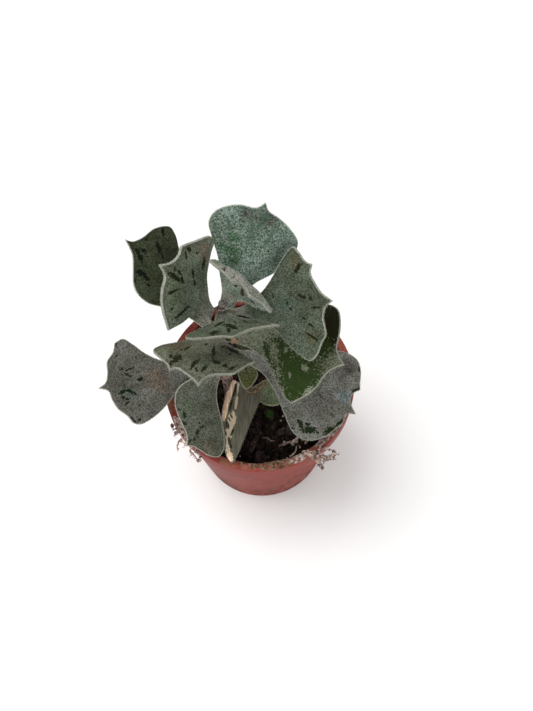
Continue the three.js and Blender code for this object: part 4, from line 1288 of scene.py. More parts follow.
LEAVES = (
    Leaf(
        "leaf_tip_rear", "leaf_grey_green",
        LeafFelt(
            "tip_rear", "#9fada0", tint="#a6a69e", second_tint_and_sheen="#8ea193", spot="#45322a", rim="#90928a",
            petiole_and_painted_light="#b8b7af",
        ),
        azimuth=14, rise=63, roll=40, height=92.5, seat=60, curl=0.01, cup=0.02, hook_from=11, hook=0.8,
        margin=0.46, rim=0.2,
        outline=[
            (0, 1.0), (3.5, 2.6), (8, 5.3), (11.6, 6.8), (13.9, 8.6, CORNER), (14.2, 6.5), (14.2, 4.5),
            (14.7, 1, TOOTH), (14, -1.5), (14.5, -4.5, TOOTH), (14, -6.5), (13.5, -10.6, CUSP), (10.3, -9.8),
            (7, -7.1), (5.7, -4.4), (4, -2.6), (1.8, -1.3), (0, -0.8),
        ],
        patches={
            BLOTCH: [
                (15.1, 4.4, 2.2, 0.4, -11), (16.4, 1.6, 2.6, 0.25, -2), (10.6, 1.3, 0.4, 0.28, -56),
                (8.6, -2.1, 1.2, 0.44, 21), (9, 0.2, 0.4, 0.29, -47), (8.2, -5.5, 0.7, 0.29, -79),
                (7.8, -7.7, 0.5, 0.29, -36), (10.6, -7.3, 0.4, 0.35, 1),
            ],
            TINT: [(13.9, -1, 3.4, 14, 0)],
        },
    ),
    Leaf(
        "leaf_tip_front", "leaf_grey_green",
        LeafFelt("tip_front", "#67705f", tint="#6c6252", second_tint_and_sheen="#4b513a", petiole_and_painted_light="#7d8074", rim="#84857b"),
        azimuth=-76, rise=28, roll=-4, height=92.5, seat=-80, curl=0.03, cup=0.01, margin=0.46, rim=0.24,
        outline=[
            (0, 1.0), (2.9, 3.6), (6.2, 6.9), (9.5, 8.8), (12.4, 10.3), (15, 11.5, CUSP), (13, 9.6),
            (12.1, 6), (12.4, 2.5), (13.8, 0, TOOTH), (12.4, -1.8), (12, -4), (11.6, -7), (11.4, -9.6),
            (9.8, -10.7, CORNER), (6.6, -8.5), (4.3, -5), (2.3, -2.2), (0, -1.0),
        ],
        patches={
            BLOTCH: [
                (7, 4.6, 1.7, 0.25, 13), (6, 2.1, 0.5, 0.32, 18), (5.7, -1.8, 1.7, 0.72, -53),
                (8.4, 0.7, 2.1, 0.7, 42), (10, -3.7, 1.2, 0.85, -63), (9.9, -0.2, 0.8, 0.46, 3),
                (5.8, 7.4, 0.7, 0.28, 17),
            ],
        },
    ),
    Leaf(
        "leaf_left_upper", "leaf_grey_green",
        LeafFelt("left_upper", "#7b8474", tint="#8b8375", second_tint_and_sheen="#67745a"),
        azimuth=176, rise=64, roll=-26, height=90, seat=178, rim=0.3,
        outline=[
            (0, 1.2), (3.5, 1.6), (6.3, 3.6), (8.9, 7), (12, 10.5, CUSP), (16.7, 7.5), (20.7, 3.4),
            (22.2, 0.5), (25.3, -0.8, TOOTH), (22.3, -3), (21.1, -5.7), (21.6, -7.8, TOOTH), (18.7, -10.6),
            (15.8, -13.6), (13.6, -15, CORNER), (11.5, -14.6), (10.8, -10.7), (8.7, -7.2), (6.5, -5),
            (3.3, -2.4), (0, -1.2),
        ],
        patches={
            BLOTCH: [
                (18.6, -8.6, 0.7, 0.56, -13), (16, -9.2, 0.4, 0.29, -21), (12.2, -8.2, 1.3, 0.52, -56),
                (14.6, -4.5, 1.1, 0.44, -37), (12.3, -2.9, 0.8, 0.34, -25), (19.7, -0.8, 2.1, 0.62, 3),
                (18.7, -2.4, 0.8, 0.34, -13), (16.7, -1.3, 0.9, 0.53, -16), (20.4, -2.3, 0.5, 0.31, -59),
                (18, 2.7, 0.9, 0.48, 55), (17.1, 1.6, 1.2, 0.23, 43), (15.1, 5.8, 0.6, 0.31, 83),
                (11.5, 5.1, 2.4, 0.41, 58), (9.8, 2.8, 0.8, 0.23, 26), (19, -6.8, 0.9, 0.31, -46),
            ],
            TINT: [(13.9, -10.7, 5.1, 3.36, -13), (3.8, -3.4, 4.5, 2.61, -16)],
            SECOND_TINT_AND_SHEEN: [(16.9, 0.9, 7.8, 4.15, -49)],
        },
    ),
    Leaf(
        "leaf_right_upper", "leaf_grey_green",
        LeafFelt("right_upper", "#5c6558", tint="#636451", second_tint_and_sheen="#546358"),
        azimuth=-7, rise=24, roll=31, height=89.5, seat=-5, cup=0.01, rim=0.33,
        outline=[
            (0, 1.2), (4, 1.4), (7.5, 2.6), (10.3, 4.2), (14, 7.6), (17.6, 11.9), (21.2, 14.4, CORNER),
            (22.3, 13), (23.5, 10.5), (25.1, 9.5, TOOTH), (24.3, 7.5), (25.2, 4.9), (26.6, 2.2),
            (28.9, 0.1, TOOTH), (27, -1.2), (26.1, -3.6), (26.2, -8), (25.2, -9.5), (23.6, -12.3),
            (21.6, -13.8, CORNER), (19, -12.4), (16, -9), (13.2, -5.4), (9, -2.7), (6, -1.2), (3.2, -0.5),
            (0, -0.6),
        ],
        patches={
            BLOTCH: [
                (21.5, 9.2, 1.6, 0.49, 51), (21.4, 2.2, 1.1, 0.32, -30), (23.5, 1.4, 0.5, 0.3, -53),
                (17.5, 0.8, 0.7, 0.21, -78), (18.2, -0.5, 0.4, 0.29, -39), (13.9, 3.2, 0.6, 0.18, -86),
                (17.8, 6.6, 0.5, 0.18, -77), (24.6, -1, 1, 0.27, -6), (21.3, -3.1, 0.7, 0.23, -40),
                (22.8, -5.1, 0.8, 0.28, -41), (22.8, -8, 1.8, 0.26, -42), (19.8, -6.8, 0.3, 0.23, -45),
            ],
            TINT: [(21.1, 10.8, 3.8, 3.23, -78), (22.5, -8.3, 3.6, 2.33, -54)],
            SECOND_TINT_AND_SHEEN: [(16.8, 1, 4.1, 2.57, -18)],
        },
    ),
    Leaf(
        "leaf_rear", "leaf_blue_green",
        LeafFelt(
            "rear", "#808f84", tint="#6d706a", second_tint_and_sheen="#5c7960", shade="#76867c", spot="#44574a",
            rim="#c4c8c2", grain=0.38, speckle=0.78,
        ),
        azimuth=62, rise=38, roll=22, height=82.5, seat=62, rim=0.22, side_rim=0.15,
        outline=[
            (0, 1.2), (5, 1.7), (10, 3.4), (15.5, 6.5), (20, 9.7), (23.5, 11.8, CORNER), (26.2, 11.4),
            (28.6, 9.2), (30.3, 5.9), (30.9, 1.7), (32.9, -0.2, TOOTH), (31.2, -1.6), (30.3, -4.6),
            (29, -7.8), (26, -11.5, CORNER), (22.5, -11.6), (18.8, -10), (15.6, -7.8), (12.2, -4.8),
            (7, -2.2), (0, -1.2),
        ],
        patches={
            TINT: [(28.6, 2.7, 4.5, 1.9, 90), (29.1, -2.2, 5, 2.8, 79)],
            BLOTCH: [
                (25.3, -4.2, 2.7, 0.4, -10), (25.7, 0.9, 2.4, 0.33, 20), (27.5, -0.6, 1.5, 0.41, -12),
                (29.7, -1.3, 1.4, 0.48, 83), (25.1, 7.1, 1.8, 0.33, 38), (30.2, 1.8, 0.4, 0.25, -85),
                (25.3, -11, 0.4, 0.26, -45), (21.7, -1.2, 0.3, 0.21, -29),
            ],
            SECOND_TINT_AND_SHEEN: [(18.6, 4.3, 5.3, 2, -88), (22.1, 4.5, 3, 1.55, 83), (16.4, 2.7, 2.8, 1.55, 84)],
        },
    ),
    Leaf(
        "leaf_front", "leaf_grey_green",
        LeafFelt("front", "#6f7262", tint="#7c7462", second_tint_and_sheen="#5f6857", rim="#8f9188"),
        azimuth=-104, rise=36, roll=3, height=81.5, seat=-100, margin=0.46, rim=0.26,
        outline=[
            (0, 1.2), (3, 3.4), (4.9, 5.4), (7, 8), (9.2, 10.6), (10.4, 11.9, CORNER), (12, 10.9),
            (14.7, 9.5), (17.2, 7.9), (18.1, 5.6), (19.6, 3.4), (21.8, 1.9), (25.1, 1.3, TOOTH), (23, -0.5),
            (20.3, -3.5), (18.8, -6.1), (20.1, -7.2, TOOTH), (17.3, -8.6), (15.2, -11.2), (13.2, -13.1),
            (11.2, -13.8, CORNER), (9.2, -12.6), (6.6, -9.3), (4.5, -6.6), (2.2, -3), (0, -1.2),
        ],
        patches={
            BLOTCH: [
                (15.2, -6.7, 1.7, 1.02, -10), (14.5, -8.5, 0.6, 0.42, 33), (17.2, -7.8, 0.7, 0.31, 28),
                (9.7, -5.4, 1.7, 0.32, -17), (11.2, -6.7, 0.4, 0.27, -8), (16.8, -1.9, 2, 0.6, -11),
                (19.2, -0.7, 0.9, 0.26, 24), (18.2, 0.9, 1.4, 0.48, -8), (6.8, -1.3, 0.6, 0.29, -12),
                (9.4, 1.3, 2.2, 0.3, 14), (13.1, 2, 2.1, 0.21, 24), (14.7, 3.2, 1, 0.61, 68),
                (6.2, 2.8, 0.7, 0.37, -14), (6.8, 5.6, 2.3, 0.76, 53), (15.2, 5.6, 0.7, 0.55, 27),
                (15.3, 7.3, 1.2, 0.41, -35), (10.2, 5.6, 0.5, 0.26, -1),
            ],
            TINT: [(9.4, -8, 5.7, 4.53, -84), (4.7, 0.6, 3.6, 3.37, 46)],
            SECOND_TINT_AND_SHEEN: [(14.8, 2.4, 6.6, 3.35, -66)],
        },
    ),
    Leaf(
        "leaf_left_rear", "leaf_deep_green",
        LeafFelt("left_rear", "#414737", tint="#49513e", second_tint_and_sheen="#3b4733", spot="#0e110b"),
        azimuth=138, rise=28, roll=2, height=78.5, seat=140, rim=0.22, side_rim=0.15,
        outline=[
            (0, 1.2), (7, 2.4), (13.8, 5.6), (17, 7.6), (20.5, 8, CORNER), (23.2, 7), (26, 4.4), (28.8, 1.7),
            (30.8, 0.8), (33, 0.1, TOOTH), (31.4, -0.9), (30.3, -3.5), (29.7, -8), (27.4, -11.1, CORNER),
            (24.5, -10.7), (21.5, -8.9), (15, -5.5), (8, -2.6), (0, -1.2),
        ],
        patches={
            BLOTCH: [
                (27.6, -8.7, 0.9, 0.4, -36), (29.2, -4, 0.5, 0.29, -46), (25.5, -4.7, 1.5, 0.47, -29),
                (23.2, -3.7, 0.7, 0.28, -32), (27.7, -1.2, 0.8, 0.54, 21), (29, -0.1, 0.6, 0.39, 27),
                (27.2, 0.6, 1.4, 0.54, -24), (24, 3.5, 1.2, 0.71, 18), (22.3, 3.4, 1, 0.47, -3),
                (20.4, 4.3, 0.5, 0.36, -1), (23.6, 6.1, 0.6, 0.32, -20),
            ],
            TINT: [(22.2, 0.9, 4.2, 3.2, -49)],
        },
    ),
    Leaf(
        "leaf_right_middle", "leaf_deep_green",
        LeafFelt("right_middle", "#858b77", tint="#2b2d20", second_tint_and_sheen="#5a6a60"),
        azimuth=-21, rise=14, roll=20, height=78, seat=-20, rim=0.3,
        outline=[
            (0, 1.2), (6, 3), (12, 6.2), (18, 10), (23.5, 13), (26.5, 13.6, CORNER), (28.8, 12.6), (30.2, 9),
            (30.6, 5.5), (30.6, 3), (31.6, 1.2), (33.6, -0.8, TOOTH), (30.8, -2.4), (28.9, -4.9), (28, -7.4),
            (26.5, -9.6), (24.2, -11.5), (22.2, -13.1, CUSP), (20, -12), (17.4, -9.3), (14.7, -6.2),
            (11.6, -3.4), (8, -1.6), (3.4, -1), (0, -1.2),
        ],
        patches={
            BARE: [
                (22, -6.5, 7.5, 4.92, -75), (16.8, -0.9, 4.3, 2.34, -39), (26.6, 4.1, 5.1, 3.67, 67),
                (24.4, -6.3, 5.4, 3.73, 78), (12.8, -1.7, 2.4, 0.86, -61), (16.2, -4.8, 2.5, 1.32, -44),
                (28.4, 6.7, 4.4, 2.29, -86),
            ],
            KEPT: [
                (14.7, -1.5, 3.4, 1.27, -68), (23.7, -3.6, 1.2, 0.77, -37), (20.2, -6.1, 0.8, 0.41, -82),
                (16.8, -6, 1.6, 0.6, -74), (17.7, -0.1, 0.8, 0.57, -90), (26, -9.5, 1.9, 0.83, 62),
                (18.9, -10.5, 1.7, 0.63, -57),
            ],
            # The large blotch on the upper lobe is painted shadow, where the upper right leaf shades it.
            BLOTCH: [(28.2, 9.8, 5.6, 3.0, -70)],
        },
    ),
    Leaf(
        "leaf_right_lower", "leaf_grey_brown",
        # Its bluish-white second tint is a painted sheen on the felt.
        LeafFelt("right_lower", "#898883", tint="#66605d", second_tint_and_sheen="#9aa6ad", spot="#17240f"),
        azimuth=-23, rise=-16, roll=20, height=70.5, seat=-24, rim=0.3, side_rim=0.2,
        outline=[
            (0, 1.3), (6, 3.4), (12, 5.6), (18, 8.6), (24, 12), (29, 13.8), (33, 13.2, CORNER), (35.2, 10.8),
            (36.4, 7.9), (37.2, 6.2, TOOTH), (35.8, 4.4), (36, 2.2), (38.9, -0.3, TOOTH), (36.4, -1.6),
            (36.6, -4), (35.4, -6.8), (33.9, -9.4), (30.8, -12, CORNER), (28.1, -12.7), (25.2, -12),
            (21, -8.6), (16.4, -4.4), (11, -1.2), (6, -0.6), (0, -1.3),
        ],
        patches={
            TINT: [
                (32.1, 10.2, 3.5, 2.4, 30), (30.3, 1.6, 2.2, 0.52, -1), (27.9, -0, 2.1, 0.49, -17),
                (26.9, 4.3, 0.9, 0.49, 13), (33, -3.3, 1.8, 0.82, -11), (30.6, 11, 3.4, 2.75, -7),
            ],
            BLOTCH: [
                (28.9, -9.6, 2, 0.87, 26), (26.1, -9.1, 1.3, 0.6, -41), (27.8, -8.4, 0.8, 0.41, 1),
                (24.6, -11.1, 0.6, 0.27, 6), (31.4, -9.3, 0.4, 0.3, 5), (34.1, -7.3, 1.6, 0.65, 58),
                (35.8, -4.1, 1.7, 0.37, 63), (36.2, 5.7, 1.6, 0.39, 41), (34.5, 11.2, 0.7, 0.3, -58),
            ],
            # The painted sheen.
            SECOND_TINT_AND_SHEEN: [(34.2, 2.6, 4.2, 2.8, -8)],
        },
    ),
    Leaf(
        "leaf_left_lower", "leaf_grey_brown",
        LeafFelt("left_lower", "#6a6964", tint="#766b61", second_tint_and_sheen="#5e665f", spot="#0f190d", rim="#b0aea6"),
        azimuth=-170, rise=6, roll=-19, height=60.5, seat=-170, rim=0.3, side_rim=0.24,
        outline=[
            (0, 1.2), (6, 2.4), (12.7, 4.7), (16.9, 8.2), (19.6, 10), (23.6, 11.5, CORNER), (25.5, 10.9),
            (27, 8.6), (29, 6.6), (30.4, 3.6), (31, 1.2), (33.6, 0, TOOTH), (31.4, -1.4), (30.6, -3.8),
            (30.2, -7), (28.2, -9.4), (27.4, -11.8, CUSP), (25, -12.6), (22.8, -11), (19.5, -7.8),
            (15.5, -5.2), (8, -2.4), (0, -1.2),
        ],
        patches={
            BLOTCH: [
                (27.2, -11.2, 0.4, 0.25, -68), (27.4, -8.1, 0.5, 0.22, 44), (26.5, -4.4, 0.8, 0.25, 25),
                (24.5, -3.9, 1.5, 0.25, 14), (25.1, -2.4, 0.9, 0.24, -36), (21.9, -0.7, 0.8, 0.44, 8),
                (20.1, 0.3, 0.3, 0.22, -1), (27, 1.9, 1.3, 0.5, 14), (26.5, 0.4, 0.5, 0.3, -71),
                (25.1, 2.1, 1.2, 0.39, -48), (23.9, 2.8, 0.4, 0.3, -51), (27.3, 3.4, 0.5, 0.33, -61),
                (26.3, 4.1, 0.8, 0.25, 5), (26.4, 5.1, 0.6, 0.33, 13), (23.8, 10.1, 0.6, 0.27, 17),
                (25.5, 9.9, 1, 0.25, -60), (20.1, 8.5, 0.3, 0.22, -54), (22.3, -7, 0.3, 0.2, -43),
                (23.2, 6.4, 0.4, 0.22, 45),
            ],
            TINT: [(17.4, 0.1, 6.7, 4.4, -57)],
            SECOND_TINT_AND_SHEEN: [(26.1, 2.6, 4.5, 2.46, -51)],
        },
    ),
    Leaf(
        "leaf_front_left", "leaf_grey_brown",
        LeafFelt("front_left", "#676a60", tint="#6e675b", second_tint_and_sheen="#5a6352", rim="#b3b2a9", spot="#1d2218"),
        azimuth=-118, rise=-22, roll=-16, height=66, seat=-112, rim=0.28, side_rim=0.22,
        outline=[
            (0, 1.2), (3.5, 1.2), (7, 1.9), (9.8, 3.3), (13, 5.8), (17, 8.6), (21.2, 10.2, CORNER),
            (23.3, 9.6), (24, 7.2), (23.6, 4.2), (23.4, 2.2), (24, 0.4, TOOTH), (21.2, -0.8), (19.2, -2.9),
            (17, -5.4), (14.5, -7.3), (11.2, -8.2, CORNER), (9, -7.5), (6.3, -5.6), (3, -2.6), (0, -1.2),
        ],
        patches={
            BLOTCH: [
                (16.3, -3.6, 1, 0.41, 36), (15.5, -5.5, 0.4, 0.19, 52), (18.5, -2.7, 0.6, 0.41, 72),
                (19.1, 1.5, 0.9, 0.38, 9), (17.3, 2.3, 0.8, 0.28, -38), (16.7, 1, 0.4, 0.22, 57),
                (21.2, 1.5, 0.7, 0.25, 8), (20.5, 2.3, 0.4, 0.19, 24), (22.4, 0.7, 0.7, 0.27, 8),
            ],
            SECOND_TINT_AND_SHEEN: [(13.7, -4, 3.3, 2.46, 46)],
            TINT: [(21.6, 6.1, 3.2, 2.72, 51)],
        },
    ),
    Leaf(
        "leaf_dry", "leaf_dry",
        DryLeaf(),
        azimuth=-90, rise=-7, roll=-32, height=56, seat=-60, cup=0.02,
        outline=[
            (0, 1.2), (1.2, 4.5), (1.9, 8), (3.0, 9.9, CORNER), (5.2, 8.7), (9.3, 6.8), (12.7, 5.1),
            (15.9, 3.8), (19.8, 2.1), (23.3, 0, TOOTH), (20.9, -1.7), (18.4, -2.3), (14.5, -2.8),
            (10.8, -3.1, CORNER), (6.4, -2.3), (2.8, -1.2), (0, -1.2),
        ],
        patches={
            TINT: [
                (0.8, 0.9, 2.2, 0.67, -34), (4.4, -0.9, 2.8, 0.82, -20), (8.7, -2.2, 2.7, 0.7, -12),
                (21.2, -0.9, 1.6, 0.87, 16), (5.6, -1.9, 3.0, 0.6, -20), (2.6, 0.1, 1.6, 0.6, -30),
            ],
            SECOND_TINT_AND_SHEEN: [
                (1.6, 2.2, 2.3, 0.31, -13), (5.8, 1.3, 2.6, 0.46, -11), (11.1, -0.3, 2.8, 1.58, -13),
                (14.8, -1.2, 2.7, 1.13, -7), (18.2, -1.4, 2.5, 0.9, 0),
            ],
            BLOTCH: [
                (2.6, 0.9, 2.1, 0.39, -20), (6.7, -0.4, 2.2, 0.33, -17), (12.5, -1.5, 1.2, 0.51, 12),
                (9.9, -0.4, 0.8, 0.27, 24), (10.9, -1, 0.8, 0.23, 26), (17, -1, 1.2, 0.44, 5),
                (18.4, -0.6, 0.8, 0.48, 17), (14.4, -0.1, 1.2, 0.33, -25), (15, -2, 0.7, 0.27, 11),
            ],
        },
    ),
    Leaf(
        "shoot_leaf_upper", "leaf_olive",
        LeafFelt(
            "shoot_upper", "#626539", tint="#6c633d", second_tint_and_sheen="#586332", rim="#9ba187", petiole_and_painted_light="#6b6d52",
        ),
        azimuth=-86, rise=-10, roll=0, at=(-3.6, 0.2, 61.2), cup=0.03, middle=1.4, columns=40, rows=28,
        ripple=0.08, rim=0.22, side_rim=0.18,
        outline=[
            (0, 0.7), (1.5, 2.4), (3.5, 3.0, CORNER), (5.1, 2.1), (6.3, 1), (7.2, -0.6, TOOTH), (6.1, -1.5),
            (4.4, -2.1, CORNER), (2.3, -2.3), (0, -0.7),
        ],
        patches={
            BLOTCH: [(1.3, -0.2, 0.8, 0.2, 12)],
            TINT: [(1.5, 1.6, 1.7, 1.4, 25)],
        },
    ),
    Leaf(
        "shoot_leaf_lower", "leaf_olive",
        LeafFelt(
            "shoot_lower", "#7a856a", tint="#766a58", second_tint_and_sheen="#7a8f6d", rim="#a9ad8c", petiole_and_painted_light="#6f6a50",
        ),
        azimuth=-6, rise=3, roll=0, at=(-5.6, -2.4, 47.6), cup=0.03, middle=1.4, columns=48, rows=30,
        ripple=0.08, rim=0.22, side_rim=0.18,
        outline=[
            (0, 0.8), (3, 1.4), (5.1, 2.6), (7.5, 4.2, CORNER), (10.5, 4), (12.4, 2), (13.4, 0, TOOTH),
            (12.8, -2), (11.5, -3.6), (9.2, -4.1, CORNER), (7, -3.6), (5.3, -2.4), (3.6, -1.2), (0, -0.8),
        ],
        patches={
            TINT: [(6.6, 3.2, 3.1, 2.32, -68)],
        },
    ),
)


@dataclass
class Foliage:
    """All the leaves, each with its finish and its marks."""

    leaves: tuple[Leaf, ...] = LEAVES

    def build(self, stem: Stem) -> None:
        """Makes every leaf.

        Args:
            stem: The stem that carries the leaves.
        """
        hair = Scatter("leaf_hairs", "felt", Copy.HAIR)
        for leaf in self.leaves:
            leaf.build(stem, hair)


@dataclass
class Litter:
    """Small lumps and sticks of one kind, made as one piece.

    A lump has its middle, its half sizes and its turn in degrees. A stick has stations of x, y, z
    and radius.
    """

    name: str
    slot: str
    finish: PlainGrowth
    lumps: list[tuple[Place, Place, Place]] = field(default_factory=list)
    sticks: list[list[Station]] = field(default_factory=list)

    def build(self) -> None:
        """Makes the lumps and the sticks."""
        parts = [pebble(*lump, rough=0.7, seed=number) for number, lump in enumerate(self.lumps)]
        for number, stick in enumerate(self.sticks):
            parts.append(Rod(stick, sides=8, steps=40).build(wobble=0.35, size=0.6, seed=number))
        settle(make_piece(self.name, joined(parts), self.finish.make()), self.slot)


LITTER = (
    Litter(
        "bark_chips", "soil", BARK_CHIP,
        lumps=[
            ((-0.5, -20.3, 40.9), (1.9, 1.3, 0.5), (6, 4, 70)),
            ((-2.2, -16.0, 41.0), (2.6, 1.0, 0.5), (0, 8, 62)),
            ((1.6, -20.6, 41.1), (1.0, 0.6, 0.4), (0, 10, 30)),
            ((5.6, -13.0, 41.2), (1.5, 0.9, 0.6), (0, 0, 20)),
            ((8.3, -12.2, 41.4), (1.8, 1.1, 0.5), (0, -14, 75)),
            ((13.5, -13.5, 41.2), (1.7, 1.0, 0.6), (10, 0, 50)),
        ],
    ),
    Litter(
        "root_threads_brown", "soil", BROWN_ROOT,
        sticks=[
            [(5.2, -17.2, 41.5, 0.3), (6.6, -17.0, 41.9, 0.4), (8.4, -16.2, 41.7, 0.35)],
            [
                (0.2, -14.5, 41.1, 0.16), (1.6, -14.6, 41.3, 0.2), (2.9, -15.6, 41.3, 0.2),
                (3.9, -15.6, 41.2, 0.15),
            ],
        ],
    ),
    Litter(
        "grit_pale_bits", "soil", PALE_BIT,
        lumps=[
            ((9.9, -16.0, 41.5), (0.9, 0.6, 0.4), (0, 10, 15)),
            ((13.1, -16.2, 41.4), (0.7, 0.5, 0.4), (0, 0, 40)),
            ((12.2, -15.6, 41.3), (0.5, 0.4, 0.3), (0, 0, 10)),
            ((7.3, -20.9, 41.1), (0.3, 0.2, 0.2), (0, 0, 0)),
            ((9.0, -16.7, 41.4), (0.8, 0.4, 0.3), (20, 0, 120)),
            ((10.4, -15.2, 41.6), (0.5, 0.5, 0.3), (0, 30, 50)),
            ((6.9, -16.3, 41.4), (0.6, 0.3, 0.3), (0, 0, 160)),
            ((11.2, -17.8, 41.3), (0.5, 0.2, 0.2), (0, 20, 80)),
        ],
    ),
    Litter(
        "root_bleached_bits", "soil", PALE_ROOT,
        sticks=[
            [
                (8.1, -20.6, 41.2, 0.36), (9.2, -19.9, 41.4, 0.3), (9.9, -18.9, 41.5, 0.18),
                (10.1, -17.5, 41.4, 0.12),
            ],
        ],
    ),
    Litter(
        "root_bleached_lip", "roots", PALE_ROOT,
        sticks=[
            [(12.0, -22.4, 50.4, 0.3), (13.6, -23.7, 50.5, 0.36), (14.8, -24.6, 50.0, 0.3)],
            [(15.6, -24.8, 49.9, 0.2), (16.2, -25.4, 49.3, 0.3), (16.6, -25.9, 48.6, 0.2)],
        ],
        lumps=[((16.0, -25.0, 49.7), (0.9, 0.5, 0.5), (20, 0, 60))],
    ),
    Litter(
        "bud_scales_tan", "leaf_dry", TAN_SCALE,
        lumps=[
            ((-10.2, 1.9, 87.6), (0.35, 1.5, 1.6), (20, 0, -14)),
            ((-6.2, -1.0, 79.6), (0.7, 0.6, 0.25), (25, 10, 40)),
            ((-5.3, -1.3, 79.5), (0.6, 0.3, 0.25), (25, 10, -20)),
        ],
    ),
    Litter(
        "bud_scales_olive", "leaf_dry", OLD_SCALE,
        lumps=[((-3.9, -1.6, 77.6), (1.9, 1.0, 0.4), (20, 8, -6))],
        sticks=[
            [
                (-9.8, 0.8, 77.5, 0.4), (-7.8, -0.2, 78.7, 0.34), (-6.0, -1.05, 79.2, 0.28),
                (-4.2, -1.5, 77.8, 0.24),
            ],
        ],
    ),
    Litter(
        "bracts_dried", "leaf_dry", DRY_BRACT,
        lumps=[
            ((-2.2, -3.8, 52.4), (1.2, 0.5, 0.3), (10, 20, 35)),
            ((-0.8, -4.5, 52.6), (1.0, 0.6, 0.3), (0, 30, 20)),
            ((0.1, -3.3, 52.9), (1.0, 0.4, 0.3), (20, 0, 60)),
            ((-3.3, -5.0, 53.0), (0.9, 0.5, 0.3), (0, 10, 10)),
        ],
        sticks=[
            [
                (-5.4, -1.9, 52.5, 0.3), (-3.8, -4.6, 53.8, 0.26), (-2.7, -5.2, 53.4, 0.22),
                (-1.1, -4.8, 52.8, 0.2),
            ],
            [
                (-5.1, -1.8, 53.4, 0.3), (-2.2, -3.5, 53.0, 0.26), (-0.4, -3.2, 53.2, 0.22),
                (0.7, -2.1, 52.9, 0.16),
            ],
        ],
    ),
)


@dataclass
class Crust:
    """A band of dried minerals along a stretch of the lip, patchy and crumbly.

    Its angles are in degrees round the pot. Its top starts `tuck` below the lip's and goes down no
    further than `least` below it, and its flat underside lies `foot` below it.
    """

    name: str
    finish: PlainGrowth
    start: float
    end: float
    height: float
    radius: float
    reach: float
    nodes: tuple[str, ...] = ()
    lip: float = 50
    tuck: float = 0.02
    least: float = 0.15
    foot: float = 0.2
    lump: float = 1.2
    steps: int = 160
    width: int = 16

    def surface(self) -> Shape:
        """Draws the band's crumbly top, its flat underside and the wall round it.

        Returns:
            The band's points and faces.
        """
        turns = np.radians(np.linspace(self.start, self.end, self.steps))[:, None]
        fade = 0.35 + 0.65 * np.sin(math.pi * np.linspace(0, 1, self.steps))[:, None]
        across = np.linspace(-1, 1, self.width)
        radii = self.radius + self.reach * fade * across
        rise = fade * self.height * np.sqrt(1 - across**2)
        points = np.stack([radii * np.cos(turns), radii * np.sin(turns), rise], -1).reshape(-1, 3)
        points[:, 2] *= 0.4 + 1.8 * lumps(points * (1, 1, 0), self.lump, 5)
        points[:, 2] += self.lip - self.tuck
        floor = points * (1, 1, 0) + (0, 0, self.lip - self.foot)
        points[:, 2] = np.maximum(points[:, 2], self.lip - self.least)
        count = len(points)
        index = np.arange(count).reshape(self.steps, self.width)
        faces = []
        for i in range(self.steps - 1):
            for j in range(self.width - 1):
                a, b, c, d = index[i, j], index[i, j + 1], index[i + 1, j + 1], index[i + 1, j]
                faces += [(d, c, b, a), (a + count, b + count, c + count, d + count)]
        outline = [*index[0], *index[1:, -1], *index[-1, -2::-1], *index[-2:0:-1, 0]]
        faces += [(a, b, b + count, a + count) for a, b in zip(outline, outline[1:] + outline[:1])]
        return np.vstack([points, floor]), faces

    def build(self, grains: Scatter) -> None:
        """Makes the band and the loose grains on it.

        Args:
            grains: The tree that spreads the grains.
        """
        finish, shape = self.finish.make(), self.surface()
        raised = (shape[0][:, 2] > self.lip + self.tuck).astype(float)
        crust = make_piece(f"{self.name}_scale", shape, finish, crumb=raised)
        loose = grains.over(
            crust, f"{self.name}_grains", finish, Density=5.0, Length=0.2, Width=0.24, Lean=1.5, Seed=9
        )
        settle(crust, "crust", *self.nodes)
        settle(loose, "crust")


# Each root thread runs along places of angle round the pot in degrees, radius and height.
THREADS = {
    "roots_right": [
        [(298, 25.6, 50.9), (300, 27.0, 51.2), (302, 29.2, 50.2), (302, 30.5, 48.5), (302.5, 31.6, 47.5)],
        [(300, 26.4, 51), (304, 28.6, 51), (308, 30.5, 50.2), (313, 31.9, 50)],
        [(302, 28.2, 51), (305, 30, 49.8), (309, 31, 48.4), (311, 31.6, 47.8)],
        [(301, 26.4, 51), (306, 27.2, 51.3), (310, 28.9, 51.2), (312.5, 31, 50.4)],
        [(297, 25.2, 50.6), (301, 26.2, 50.9), (304, 27.6, 51), (306, 29.4, 50.2)],
        [(301, 28.4, 50.6), (301.4, 29.6, 49.6), (303.2, 31.6, 48.6)],
    ],
    "roots_left": [
        [(209, 26.8, 50.9), (215, 27, 50.9), (220, 27, 51), (226, 26.9, 50.9), (232, 27, 50.9)],
        [(216, 27, 50.9), (218, 28.9, 50.6), (218.4, 30.2, 49.8), (219, 30.5, 48.6), (219.5, 30.5, 47)],
        [(225, 27, 50.9), (226.3, 28.6, 50.6), (227.4, 28.9, 49.6), (229, 28.9, 48), (231.5, 29.1, 46.5)],
        [(210, 26.9, 50.9), (208.4, 28.2, 50.8), (208.2, 28.6, 50.4)],
        [(211, 27, 50.9), (210.6, 28.6, 50.6), (210.4, 29.0, 50.3)],
        [(213, 27, 50.9), (213.6, 28.8, 50.6), (213.2, 29.7, 50.3)],
        [(221, 27, 50.9), (221.7, 28.6, 50.4), (223.4, 28.6, 50.4)],
        [(228, 27, 50.9), (229.1, 28.2, 50.5), (231.8, 28.1, 49.9), (233, 28.4, 48.8)],
    ],
}


